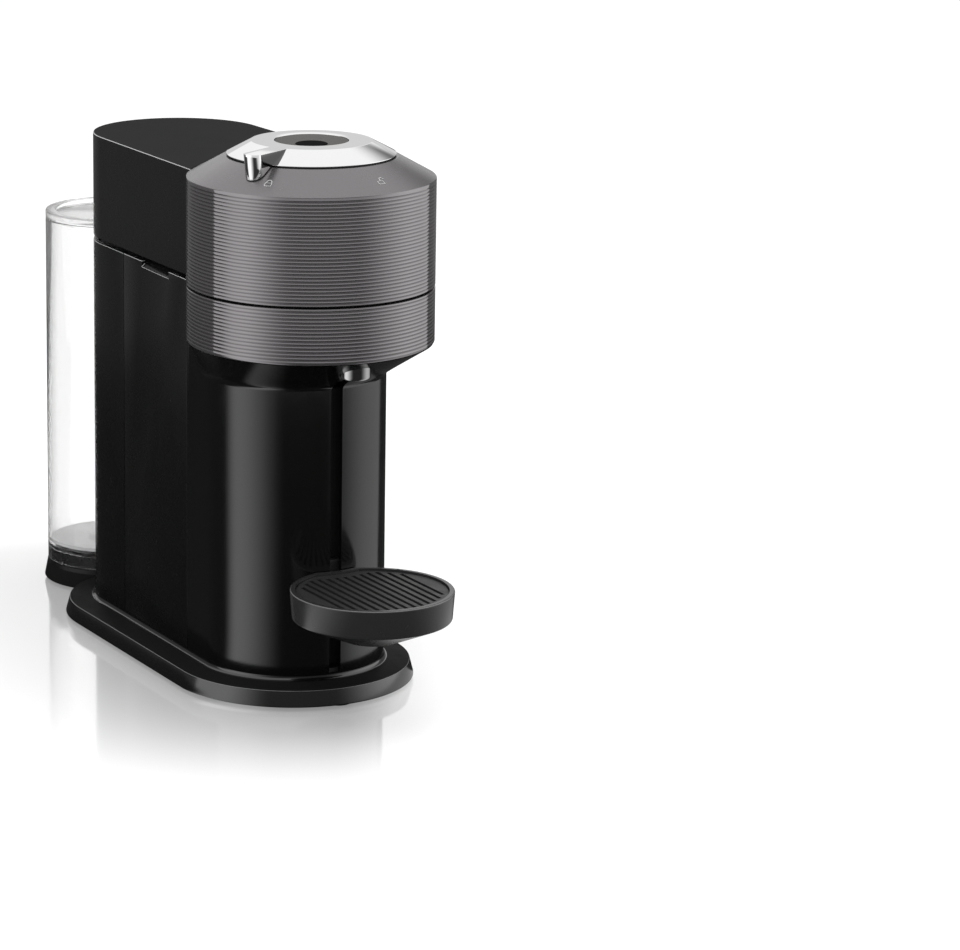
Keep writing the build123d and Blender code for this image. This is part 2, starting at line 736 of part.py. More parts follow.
# Upper half of the head: a ridged shell with a conical shoulder, part of the tilting hood
inner_edge_z = shoulder_edge_z + wall * shoulder_slope - wall * math.hypot(1, shoulder_slope)
with BuildPart() as head_shell:
    turned(head_y, [
        (inner_radius, upper_bottom), (head_radius, upper_bottom),
        *ridged(upper_bottom + ridge_margin, shoulder_edge_z - shoulder_round - ridge_margin),
        (head_radius, shoulder_edge_z),
        (shoulder_top_radius, shoulder_top_z), (neck_radius, shoulder_top_z),
        (neck_radius, inner_edge_z + (inner_radius - neck_radius) * shoulder_slope),
        (inner_radius, inner_edge_z)])
    shoulder_edge = head_shell.edges().filter_by_position(Axis.Z, shoulder_edge_z, shoulder_edge_z)
    fillet(shoulder_edge, radius=shoulder_round)
    body_prism(upper_bottom, block_bottom + fit_gap, wall, Mode.SUBTRACT)

# Top and rear cover of the hood, cut round behind the head
with BuildPart() as top_cover:
    body_prism(upper_bottom, cover_top, 0)
    fillet(top_cover.edges().group_by(Axis.Z)[-1], radius=shoulder_round)
    body_prism(upper_bottom, cover_top - wall, wall, Mode.SUBTRACT)
    disc(head_y, head_radius + fit_gap, 0, HIGH, Mode.SUBTRACT)
    block((-hinge_window, hinge_window), (hinge_y - wall - hinge_eye_radius, far), (0, hinge_window_top),
          Mode.SUBTRACT)

# Floor of the hood, with the hinge knuckle behind and the injector's opening in front
cavity_radius = injector_radius + cavity_gap
with BuildPart() as hood_floor:
    body_prism(hood_plate_z, block_bottom, wall + fit_gap)
    disc(head_y, inner_radius - fit_gap, hood_plate_z, block_bottom)
    cross_rod((-knuckle_half, knuckle_half), hinge_eye_radius)
    disc(head_y, cavity_radius, hood_plate_z, block_bottom, Mode.SUBTRACT)
    for side in (-1, 1):
        with Locations((side * (ear_span[0] + ear_span[1]) / 2, hinge_y, hood_plate_z)):
            Box(ear_thickness + 2 * slide_gap, 4 * ear_depth, 4 * hood_plate, mode=Mode.SUBTRACT)
    cross_rod((-far, far), hinge_pin_radius + run_clearance, Mode.SUBTRACT)

# Brewing block above the injector, its bearing and the water cap
hub_bottom = block_bottom + injector_thickness / 2 + cavity_gap
bearing_seat = hub_bottom + injector_thickness
injector_bearing_height = 2 * bearing_height
injector_bearing_radius = injector_hub + bearing_height + edge_round
hub_bore = injector_hub + hub_gap
with BuildPart() as brew_block:
    turned(head_y, [
        (hub_bore, hub_bottom), (cavity_radius, hub_bottom), (cavity_radius, block_bottom),
        (block_radius, block_bottom), (block_radius, block_top), (injector_bearing_radius, block_top),
        (injector_bearing_radius, bearing_seat), (hub_bore, bearing_seat)])

with BuildPart() as injector_bearing:
    disc(head_y, injector_bearing_radius, bearing_seat, bearing_seat + injector_bearing_height)
    disc(head_y, injector_hub + run_clearance, bearing_seat, HIGH, Mode.SUBTRACT)

cap_bottom = bearing_seat + injector_bearing_height + slide_gap * 4
with BuildPart() as water_cap:
    turned(head_y, [
        (0, cap_bottom), (injector_bearing_radius, cap_bottom), (injector_bearing_radius, block_top),
        (water_boss_radius, block_top), (water_boss_radius, block_top + water_boss_height),
        (0, block_top + water_boss_height)])

with BuildPart() as chamber_seal:
    seal_bottom = chamber_top + slide_gap
    disc(head_y, chamber_radius + seal_width, seal_bottom, hood_plate_z)
    disc(head_y, chamber_radius, seal_bottom, hood_plate_z, Mode.SUBTRACT)

# Injector: the spinning plate with the piercing needle
injector_bottom = hood_plate_z - fit_gap * 4
with BuildPart() as injector:
    needle_bottom = injector_bottom - needle_length
    plate_top = injector_bottom + injector_thickness
    hub_top = bearing_seat + injector_bearing_height
    turned(head_y, [
        (0, needle_bottom), (needle_radius / 2, needle_bottom),
        (needle_radius, needle_bottom + needle_tip), (needle_radius, injector_bottom),
        (injector_radius, injector_bottom), (injector_radius, plate_top), (injector_hub, plate_top),
        (injector_hub, hub_top), (0, hub_top)])

# Chrome ring with its lever, and the locking sleeve with lugs below it
ring_bore = dish_radius + 2 * fit_gap
with BuildPart() as lever_ring:
    turned(head_y, [
        (ring_bore, ring_top), (ring_top_radius, ring_top), (ring_bottom_radius, ring_bottom),
        (sleeve_radius - sleeve_wall, ring_bottom), (ring_top_radius - ring_lip, ring_top - ring_thickness),
        (ring_bore, ring_top - ring_thickness)])
    lever_start = ring_top_radius - ring_thickness
    lever_end = lever_reach - lever_width / 2
    lever_height = ring_top - shoulder_edge_z
    with Locations(Location((0, head_y, shoulder_edge_z), (0, 0, lever_angle))):
        with Locations((lever_end, 0, 0)):
            Cylinder(lever_width / 2, lever_height, align=STAND)
        with Locations((lever_start, 0, 0)):
            Box(lever_end - lever_start, lever_width, lever_height,
                align=(Align.MIN, Align.CENTER, Align.MIN))
    turned(head_y, [
        (0, 0), (head_radius, 0), (head_radius, shoulder_edge_z + ring_rise),
        (shoulder_top_radius, ring_bottom), (0, ring_bottom)], Mode.SUBTRACT)

lug_bottom = block_bottom + 2 * lug_height
with BuildPart() as bayonet_sleeve:
    disc(head_y, sleeve_radius, lug_bottom, ring_bottom)
    with Locations((0, head_y, lug_bottom)):
        with PolarLocations(sleeve_radius, lug_count):
            Box(2 * (lug_radius - sleeve_radius), lug_width, lug_height, align=STAND)
    disc(head_y, sleeve_radius - sleeve_wall, lug_bottom, ring_bottom, Mode.SUBTRACT)

# Dish in the middle of the ring, on a tube that stands on the brewing block
dish_top = ring_top - fit_gap
dish_floor = dish_top - dish_depth
guide_top = dish_floor - button_travel - fit_gap * 5
guide_bottom = guide_top - dish_wall
dish_bore = dish_tube_radius - dish_wall
hollow_radius = ((dish_radius - dish_rim) ** 2 + dish_depth ** 2) / (2 * dish_depth)
with BuildPart() as button_dish:
    disc(head_y, dish_radius, guide_bottom, dish_top)
    disc(head_y, dish_tube_radius, block_top, guide_bottom)
    with Locations((0, head_y, dish_floor + hollow_radius)):
        Sphere(hollow_radius, mode=Mode.SUBTRACT)
    disc(head_y, button_radius + slide_gap, guide_top, HIGH, Mode.SUBTRACT)
    disc(head_y, stem_radius + slide_gap, guide_bottom, guide_top, Mode.SUBTRACT)
    disc(head_y, dish_bore, block_top, guide_bottom, Mode.SUBTRACT)

# Brewing button, which slides down onto its switch
button_bottom = guide_top + button_travel + fit_gap
with BuildPart() as brew_button:
    disc(head_y, button_radius, button_bottom, button_bottom + button_height)
    fillet(brew_button.edges().group_by(Axis.Z)[-1], radius=button_height / 4)
    disc(head_y, stem_radius, button_bottom - stem_length, button_bottom)

switch_top = button_bottom - stem_length - button_travel - fit_gap
with BuildPart() as button_switch:
    switch_floor = switch_top - switch_height
    disc(head_y, dish_bore, switch_floor - dish_wall, switch_floor)
    with Locations((0, head_y, switch_floor)):
        Box(switch_size, switch_size, switch_height, align=STAND)

# Cup support: a shallow bowl with an arm through the column's slot
inner_tray = tray_radius - tray_wall
ledge_z = tray_top - grid_recess - grid_thickness - slide_gap
bowl_radius = inner_tray - grid_ledge
bowl_floor = tray_bottom - tray_belly + tray_floor
arm_front = column_y - column_radius - tray_gap - tray_wall
with BuildPart() as tray_bowl:
    disc(tray_y, inner_tray, ledge_z, tray_top + cut_margin)
    turned(tray_y, [
        (0, bowl_floor), (tray_belly_radius, bowl_floor), (bowl_radius, tray_bottom + tray_floor),
        (bowl_radius, ledge_z), (0, ledge_z)])
    disc(column_y, column_radius + tray_gap + tray_wall, 0, HIGH, Mode.SUBTRACT)

with BuildPart() as cup_support:
    turned(tray_y, [
        (0, tray_bottom - tray_belly), (tray_belly_radius, tray_bottom - tray_belly),
        (tray_radius - tray_draft, tray_bottom), (tray_radius, tray_top), (0, tray_top)])
    disc(column_y, column_radius + tray_gap, 0, HIGH, Mode.SUBTRACT)
    add(tray_bowl.part, mode=Mode.SUBTRACT)
    arm_half = slot_width / 2 - slide_gap
    block((-arm_half, arm_half), (arm_front, rail_front + fit_gap), (arm_bottom, arm_bottom + arm_height))

with BuildPart() as support_carriage:
    block((-carriage_width / 2, carriage_width / 2), (rail_front + fit_gap, rail_floor - slide_gap),
          (arm_bottom, arm_bottom + carriage_height))
    fillet(support_carriage.edges().filter_by(Axis.X), radius=edge_round)

# Slotted grid in the cup support
with BuildPart() as drip_grid:
    grid_radius = inner_tray - slide_gap
    grid_z = ledge_z + slide_gap
    disc(tray_y, grid_radius, grid_z, grid_z + grid_thickness)
    disc(column_y, column_radius + tray_gap + tray_wall + slide_gap, 0, HIGH, Mode.SUBTRACT)
    rows = int((grid_radius - 2 * grid_pitch) / grid_pitch)
    for row in range(-rows, rows + 1):
        row_half = math.sqrt((grid_radius - grid_rim) ** 2 - (row * grid_pitch) ** 2) - grid_rim
        block((row * grid_pitch - grid_slot / 2, row * grid_pitch + grid_slot / 2),
              (tray_y - row_half, min(tray_y + row_half, arm_front - 2 * tray_wall)),
              (grid_z, grid_z + grid_thickness), Mode.SUBTRACT)

# Water tank: clear tube, dark ring at its foot, floor disc, valve and lid
tank_bore = tank_radius - tank_wall
with BuildPart() as water_tank:
    turned(tank_y, [
        (tank_bore, tank_bottom), (tank_radius, tank_bottom), (tank_radius, tank_top), (tank_bore, tank_top),
        (tank_bore, tank_floor_z - tank_floor), (tank_bore - tank_wall, tank_floor_z - tank_floor),
        (tank_bore - tank_wall, tank_floor_z - 2 * tank_floor), (tank_bore, tank_floor_z - 3 * tank_floor)])

with BuildPart() as tank_base:
    disc(tank_y, tank_bore, tank_bottom, tank_floor_z - 3 * tank_floor)
    disc(tank_y, tank_bore - tank_wall, 0, HIGH, Mode.SUBTRACT)

with BuildPart() as tank_floor_disc:
    disc(tank_y, tank_bore, tank_floor_z - tank_floor, tank_floor_z)
    disc(tank_y, valve_radius, 0, HIGH, Mode.SUBTRACT)

with BuildPart() as tank_valve:
    disc(tank_y, valve_radius, drum_top + boss_height / 2, tank_floor_z)
    disc(tank_y, valve_radius + valve_drop, tank_floor_z, tank_floor_z + valve_drop)
    fillet(tank_valve.edges().group_by(Axis.Z)[-1], radius=edge_round)

lid_bottom = tank_top + slide_gap
lid_top = lid_bottom + lid_height
lid_floor = lid_top - lid_recess
with BuildPart() as tank_lid:
    turned(tank_y, [
        (0, lid_floor), (tank_radius - lid_rim, lid_floor), (tank_radius - lid_rim, lid_top),
        (tank_radius, lid_top), (tank_radius, lid_bottom), (lid_skirt_radius, lid_bottom),
        (lid_skirt_radius, lid_bottom - lid_skirt), (lid_skirt_radius - lid_plate, lid_bottom - lid_skirt),
        (lid_skirt_radius - lid_plate, lid_floor - lid_plate), (0, lid_floor - lid_plate)])
    fillet(tank_lid.edges().group_by(Axis.Z)[-1], radius=edge_round)

# Every piece is written as its own node
nodes = {
    "base_foot": base_foot, "bottom_cover": bottom_cover, "cover_screws": cover_screws,
    "rubber_feet": rubber_feet, "tank_seat": tank_seat, "valve_gasket": valve_gasket,
    "cord_gland": cord_gland, "chassis": chassis, "front_column": front_column,
    "rear_housing": rear_housing, "right_panel": right_panel, "slide_rail": slide_rail,
    "neck_collar": neck_collar, "lower_head_ring": lower_head_ring, "deck_plate": deck_plate,
    "brew_chamber": brew_chamber, "coffee_outlet": coffee_outlet, "outlet_nozzle": outlet_nozzle,
    "drive_motor": drive_motor, "motor_bracket": motor_bracket, "bearing_block": bearing_block,
    "spindle_bearings": spindle_bearings, "shaft_seal": shaft_seal, "spindle": spindle,
    "capsule_holder": capsule_holder, "pump_foot_pad": pump_foot_pad, "water_pump": water_pump,
    "flow_meter": flow_meter, "heater": heater, "control_board": control_board,
    "water_hoses": water_hoses, "hinge_ears": hinge_ears, "hinge_pin": hinge_pin,
    "capsule_bin": capsule_bin, "head_shell": head_shell, "top_cover": top_cover,
    "hood_floor": hood_floor, "brew_block": brew_block, "injector_bearing": injector_bearing,
    "water_cap": water_cap, "chamber_seal": chamber_seal, "injector": injector, "lever_ring": lever_ring,
    "bayonet_sleeve": bayonet_sleeve, "button_dish": button_dish, "brew_button": brew_button,
    "button_switch": button_switch, "cup_support": cup_support, "support_carriage": support_carriage,
    "drip_grid": drip_grid, "water_tank": water_tank, "tank_base": tank_base,
    "tank_floor_disc": tank_floor_disc, "tank_valve": tank_valve, "tank_lid": tank_lid,
}
os.makedirs("parts", exist_ok=True)
for name, piece in nodes.items():
    piece.part.label = name
    export_step(piece.part, f"parts/{name}.step")
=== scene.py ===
"""Pod coffee machine: smooth outer pieces, procedural finishes, studio light and camera.

Metres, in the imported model's frame. Places and sizes come from the frame's own nodes.
"""
import json
import math

import bmesh
import bpy
from mathutils import Matrix, Vector

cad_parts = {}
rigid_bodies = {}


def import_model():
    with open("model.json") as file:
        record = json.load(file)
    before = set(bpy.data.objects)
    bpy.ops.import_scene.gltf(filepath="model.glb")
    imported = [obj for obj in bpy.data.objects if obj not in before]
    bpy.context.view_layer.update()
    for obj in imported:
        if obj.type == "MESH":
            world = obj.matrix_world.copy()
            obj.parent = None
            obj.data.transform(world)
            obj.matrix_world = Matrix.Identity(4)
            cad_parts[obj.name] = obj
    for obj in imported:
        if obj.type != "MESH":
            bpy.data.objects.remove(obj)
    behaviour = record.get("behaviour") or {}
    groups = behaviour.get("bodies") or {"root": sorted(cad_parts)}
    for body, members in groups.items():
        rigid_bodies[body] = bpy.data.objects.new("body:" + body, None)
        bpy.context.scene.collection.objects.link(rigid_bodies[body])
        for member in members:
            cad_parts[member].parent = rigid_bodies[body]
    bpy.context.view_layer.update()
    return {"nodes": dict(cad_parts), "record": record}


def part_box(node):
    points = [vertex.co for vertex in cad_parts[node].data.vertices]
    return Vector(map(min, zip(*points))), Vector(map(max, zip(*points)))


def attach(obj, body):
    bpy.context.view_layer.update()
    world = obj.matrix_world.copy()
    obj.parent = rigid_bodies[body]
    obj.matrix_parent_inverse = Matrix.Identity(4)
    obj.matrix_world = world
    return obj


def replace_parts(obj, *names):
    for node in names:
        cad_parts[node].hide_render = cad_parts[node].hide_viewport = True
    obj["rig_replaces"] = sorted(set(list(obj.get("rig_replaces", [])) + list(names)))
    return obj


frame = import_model()

# Sizes that the look of the pieces needs
MM = 0.001
full_turn = 2 * math.pi
quarter_turn = math.pi / 2
segments = 192
arc_steps = 6
wall = 2.5 * MM
edge_round = 0.5 * MM
fine_round = edge_round / 2
soft_round = 1.0 * MM
fit_gap = 0.2 * MM
cut_margin = 5.0 * MM
smooth_angle = math.radians(32)
flat_angle = math.radians(0.5)
same_point = 1e-6
node_same_point = 2e-6
thin_face = 1e-7


def round_node(node):
    """A round node's box, with the depth of its axis and its radius."""
    low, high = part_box(node)
    return low, high, (low.y + high.y) / 2, (high.x - low.x) / 2


# Plan of the body and of the head, read from the nodes
head_low, head_high, _, head_radius = round_node("head_shell")
button_low, button_high, head_y, button_radius = round_node("brew_button")
column_low, column_high, _, column_radius = round_node("front_column")
skirt_low, skirt_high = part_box("lower_head_ring")
rear_low, rear_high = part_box("rear_housing")
cover_low, cover_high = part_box("top_cover")
panel_low, panel_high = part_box("right_panel")
column_y = column_low.y + column_radius
rear_y = 75.7 * MM
rear_radius = rear_high.y - rear_y
side_lean = math.asin((column_radius - rear_radius) / (rear_y - column_y))
join_angle = math.atan2(math.sqrt(head_radius ** 2 - column_radius ** 2), column_radius)


# Mesh helpers
def new_object(name, data):
    """An object at the origin that holds this mesh or curve."""
    obj = bpy.data.objects.new(name, data)
    bpy.context.scene.collection.objects.link(obj)
    return obj


def smooth(obj):
    """Smooth shading that keeps corners sharper than the smooth angle."""
    obj.data.shade_smooth()
    obj.data.set_sharp_from_angle(angle=smooth_angle)
    return obj


def finished(name, bm):
    """Turns a bmesh into an object with smooth shading."""
    mesh = bpy.data.meshes.new(name)
    bm.to_mesh(mesh)
    bm.free()
    return smooth(new_object(name, mesh))


def mesh_object(name, bm):
    """Turns a bmesh into an object with merged corners and outward faces."""
    bmesh.ops.remove_doubles(bm, verts=bm.verts, dist=same_point)
    bmesh.ops.dissolve_degenerate(bm, edges=bm.edges, dist=thin_face)
    bmesh.ops.recalc_face_normals(bm, faces=bm.faces)
    return finished(name, bm)


def node_bmesh(node):
    """A node's own mesh with its corners merged."""
    bm = bmesh.new()
    bm.from_mesh(frame["nodes"][node].data)
    bmesh.ops.remove_doubles(bm, verts=bm.verts, dist=node_same_point)
    return bm


def merged_copy(node, name=None):
    """A smooth copy of a node whose shape is already right."""
    bm = node_bmesh(node)
    bmesh.ops.dissolve_limit(bm, angle_limit=flat_angle, verts=bm.verts, edges=bm.edges)
    return finished(name or node + "_smooth", bm)


def evaluated_mesh(obj):
    """The mesh that an object's modifiers or curves come to."""
    graph = bpy.context.evaluated_depsgraph_get()
    return bpy.data.meshes.new_from_object(obj.evaluated_get(graph))


def plain(obj):
    """Turns the object's modifiers into a plain mesh."""
    mesh = evaluated_mesh(obj)
    obj.modifiers.clear()
    obj.data = mesh
    return smooth(obj)


def boolean(obj, operation, *tools):
    """Cuts or joins the object with other closed meshes, which are used up."""
    for tool in tools:
        modifier = obj.modifiers.new("shape", "BOOLEAN")
        modifier.operation = operation
        modifier.solver = "EXACT"
        modifier.object = tool
    plain(obj)
    for tool in tools:
        bpy.data.objects.remove(tool)
    return obj


def bevelled(obj, width=fine_round, steps=2):
    """Rounds the object's sharp edges a little, so that they catch light."""
    modifier = obj.modifiers.new("edges", "BEVEL")
    modifier.width = width
    modifier.segments = steps
    modifier.limit_method = "ANGLE"
    modifier.angle_limit = smooth_angle
    modifier.harden_normals = False
    return plain(obj)


def join_rings(bm, rings):
    """Faces between each closed ring of corners and the next."""
    for ring, following in zip(rings, rings[1:]):
        for index in range(len(ring)):
            after = (index + 1) % len(ring)
            bm.faces.new((ring[index], ring[after], following[after], following[index]))


def lofted(name, loops):
    """A solid through a row of closed loops of points, shut at both ends."""
    bm = bmesh.new()
    rings = [[bm.verts.new(point) for point in loop] for loop in loops]
    join_rings(bm, rings)
    bm.faces.new(rings[0])
    bm.faces.new(rings[-1])
    return mesh_object(name, bm)


# Section helpers: a section is a closed list of corners
def rounded(corners, steps=arc_steps):
    """A section's points: (across, height) stays sharp and (across, height, radius) becomes an arc."""
    points = []
    for index, (across, height, *radius) in enumerate(corners):
        here = Vector((across, height))
        if not radius:
            points.append(here)
            continue
        before = Vector(corners[index - 1][:2]) - here
        after = Vector(corners[(index + 1) % len(corners)][:2]) - here
        half = before.angle(after) / 2
        reach = radius[0] / math.tan(half)
        before.normalize()
        after.normalize()
        centre = here + (before + after).normalized() * radius[0] / math.sin(half)
        start = here + before * reach - centre
        end = here + after * reach - centre
        turn = start.angle_signed(end)
        for step in range(steps + 1):
            spoke = start.copy()
            spoke.rotate(Matrix.Rotation(-turn * step / steps, 2))
            points.append(centre + spoke)
    return points


def arc(across, height, radius, start, sweep, steps):
    """Points along a flat arc."""
    turns = [start + sweep * step / steps for step in range(steps + 1)]
    return [(across + radius * math.cos(turn), height + radius * math.sin(turn)) for turn in turns]


def turn_stations(centre_y, start=0.0, sweep=full_turn, count=segments, radius=0.0):
    """Stations round an upright axis: where a section starts and which way it faces."""
    steps = count if sweep == full_turn else count + 1
    angles = [start + sweep * step / count for step in range(steps)]
    ways = [Vector((math.cos(a), math.sin(a))) for a in angles]
    return [(Vector((0, centre_y)) + way * radius, way) for way in ways]


def side_station(y, side):
    """A station on the body's straight side at this depth."""
    way = Vector((side * math.cos(side_lean), math.sin(side_lean)))
    start = Vector((0, column_y)) + way * column_radius
    end = Vector((0, rear_y)) + way * rear_radius
    return start.lerp(end, (y - start.y) / (end.y - start.y)), way


def skin(name, stations, section, closed=True):
    """A solid that carries one closed section past every station."""
    bm = bmesh.new()
    rings = [[bm.verts.new((origin.x + way.x * across, origin.y + way.y * across, height))
              for across, height in section] for origin, way in stations]
    if closed:
        join_rings(bm, rings + rings[:1])
    else:
        join_rings(bm, rings)
        bm.faces.new(rings[0])
        bm.faces.new(list(reversed(rings[-1])))
    return mesh_object(name, bm)


def turned(name, centre_y, corners):
    """A round piece from its section's corners."""
    return skin(name, turn_stations(centre_y), rounded(corners))


def cylinder(centre_y, radius, bottom, top):
    """A plain upright round tool for cutting."""
    return turned("tool", centre_y, [(0, bottom), (radius, bottom), (radius, top), (0, top)])


def box_tool(low, high):
    """A plain block tool for cutting."""
    bm = bmesh.new()
    bmesh.ops.create_cube(bm, size=1)
    middle = (Vector(low) + Vector(high)) / 2
    stretch = Matrix.Diagonal(Vector(high) - Vector(low)).to_4x4()
    bmesh.ops.transform(bm, matrix=Matrix.Translation(middle) @ stretch, verts=bm.verts)
    return mesh_object("tool", bm)


def with_sides(outline, y, side):
    """An outline with a piece of the body's straight side before it and after it."""
    return [side_station(y, side), *outline, side_station(y, -side)]


# The body's outline: from the right side round the front to the left, and on round the back
front_outline = turn_stations(column_y, side_lean, -math.pi - 2 * side_lean, segments // 2, column_radius)
back_outline = turn_stations(rear_y, math.pi - side_lean, 2 * side_lean - math.pi, segments // 2, rear_radius)


# Node helpers
class Graph:
    """A node tree, with short ways to add nodes and to link them."""

    def __init__(self, tree):
        self.tree = tree

    def join(self, node, *places, **names):
        """Sets a node's inputs, or links them to other nodes, by place and by name."""
        for key, value in [*enumerate(places), *names.items()]:
            socket = node.inputs[key.replace("_", " ") if isinstance(key, str) else key]
            if isinstance(value, bpy.types.Node):
                value = next(output for output in value.outputs if output.enabled)
            if isinstance(value, bpy.types.NodeSocket):
                self.tree.links.new(value, socket)
            else:
                socket.default_value = value
        return node

    def add(self, kind, *places, setup=None, **names):
        """A node with its own settings, and then its inputs."""
        node = self.tree.nodes.new(kind if "Node" in kind else "ShaderNode" + kind)
        for name, value in (setup or {}).items():
            setattr(node, name, value)
        return self.join(node, *places, **names)

    def group(self, tree, **names):
        """Another tree as one node."""
        return self.add("Group", setup={"node_tree": tree}, **names)

    def sum(self, operation, *values):
        """A sum on numbers."""
        return self.add("Math", *values, setup={"operation": operation})

    def vector(self, operation, *values, **names):
        """A sum on vectors."""
        return self.add("VectorMath", *values, setup={"operation": operation}, **names)

    def split(self, vector):
        """A vector's three numbers."""
        return self.add("SeparateXYZ", vector).outputs

    def mix(self, first, second, share, kind="FLOAT"):
        """A number or a colour between two others."""
        return self.add("Mix", setup={"data_type": kind}, Factor=share, A=first, B=second)

    def ease(self, value, low, high):
        """A soft step from 0 to 1 between two values."""
        return self.add("MapRange", value, low, high, setup={"interpolation_type": "SMOOTHSTEP"})


def new_group(name, kind, inputs, outputs):
    """A node group with its inner ends: an input is a default number or the name of its kind."""
    tree = bpy.data.node_groups.new(name, kind)
    for label, value in inputs.items():
        word = value if isinstance(value, str) else type(value).__name__.capitalize()
        socket = tree.interface.new_socket(label, in_out="INPUT", socket_type="NodeSocket" + word)
        if word != value:
            socket.default_value = value
    for label, word in outputs.items():
        tree.interface.new_socket(label, in_out="OUTPUT", socket_type="NodeSocket" + word)
    return Graph(tree), tree.nodes.new("NodeGroupInput").outputs, tree.nodes.new("NodeGroupOutput")


# What the finishes share: moulded surface and resting dust
dust_colour = (0.45, 0.44, 0.42, 1.0)
upward_range = (0.6, 1.0)
marks_range = (0.3, 0.7)
grazing_range = (0.45, 1.0)


def moulded_surface_group():
    """Slow cloudiness, fine moulded grain and handling marks of a plastic surface."""
    graph, given, made = new_group(
        "moulded_surface", "ShaderNodeTree",
        {"Vector": "Vector", "Cloud Scale": 30.0, "Grain Scale": 2500.0, "Marks Scale": 70.0},
        {"Cloud": "Float", "Grain": "Float", "Marks": "Float"})
    textures = {"Cloud": {"Detail": 3.0, "Roughness": 0.5}, "Grain": {"Detail": 2.0, "Roughness": 0.6},
                "Marks": {"Detail": 5.0, "Roughness": 0.62, "Distortion": 0.8}}
    for name, values in textures.items():
        noise = graph.add("TexNoise", Vector=given["Vector"], Scale=given[name + " Scale"], **values)
        graph.join(made, **{name: noise})
    return graph.tree


def resting_dust_group():
    """A thin uneven film on faces that look upwards."""
    graph, given, made = new_group(
        "resting_dust", "ShaderNodeTree", {"Vector": "Vector", "Amount": 0.1}, {"Dust": "Float"})
    normal = graph.split(graph.add("NewGeometry").outputs["Normal"])
    upward = graph.add("MapRange", normal["Z"], *upward_range)
    patches = graph.add("TexNoise", Vector=given["Vector"], Scale=160.0, Detail=4.0, Roughness=0.7)
    shared = graph.sum("MULTIPLY", upward, patches)
    graph.join(made, Dust=graph.sum("MULTIPLY", shared, given["Amount"]))
    return graph.tree


moulded_surface = moulded_surface_group()
resting_dust = resting_dust_group()


def grey(value, warm=0.0):
    """A grey with a slight warm or cool cast."""
    return (value * (1 + warm), value, value * (1 - warm), 1.0)


def finish(name, tones, rough, grain, dust=0.0, groove=None, rim=None, **shader):
    """A finish whose tone, gloss and fine relief vary a little over the surface.

    Tones are two greys or colours, rough is the range of roughness, and grain is its depth and its scale.
    Groove is the colour of painted shade in the grooves of ridged pieces.
    """
    material = bpy.data.materials.new(name)
    material.use_nodes = True
    graph = Graph(material.node_tree)
    place = graph.add("TexCoord").outputs["Object"]
    surface = graph.group(moulded_surface, Vector=place, Grain_Scale=grain[1]).outputs
    dark, light = (tone if isinstance(tone, tuple) else grey(tone) for tone in tones)
    colour = graph.mix(dark, light, surface["Cloud"], "RGBA")
    gloss = graph.add("MapRange", surface["Marks"], *marks_range, *rough)
    relief = graph.add("Bump", Strength=1.0, Distance=grain[0], Height=surface["Grain"])
    if dust:
        film = graph.group(resting_dust, Vector=place, Amount=dust)
        colour = graph.mix(colour, dust_colour, film, "RGBA")
    # Painted shade: the colour darkens towards the groove colour where the ridge tree stored its groove share
    if groove:
        mask = graph.add("Attribute", setup={"attribute_name": "groove"})
        colour = graph.mix(colour, groove, mask.outputs["Fac"], "RGBA")
    if rim:
        grazing = graph.add("LayerWeight", Blend=0.5).outputs["Facing"]
        colour = graph.mix(colour, rim, graph.ease(grazing, *grazing_range), "RGBA")
    principled = graph.tree.nodes["Principled BSDF"]
    graph.join(principled, Base_Color=colour, Roughness=gloss, Normal=relief, **shader)
    return material


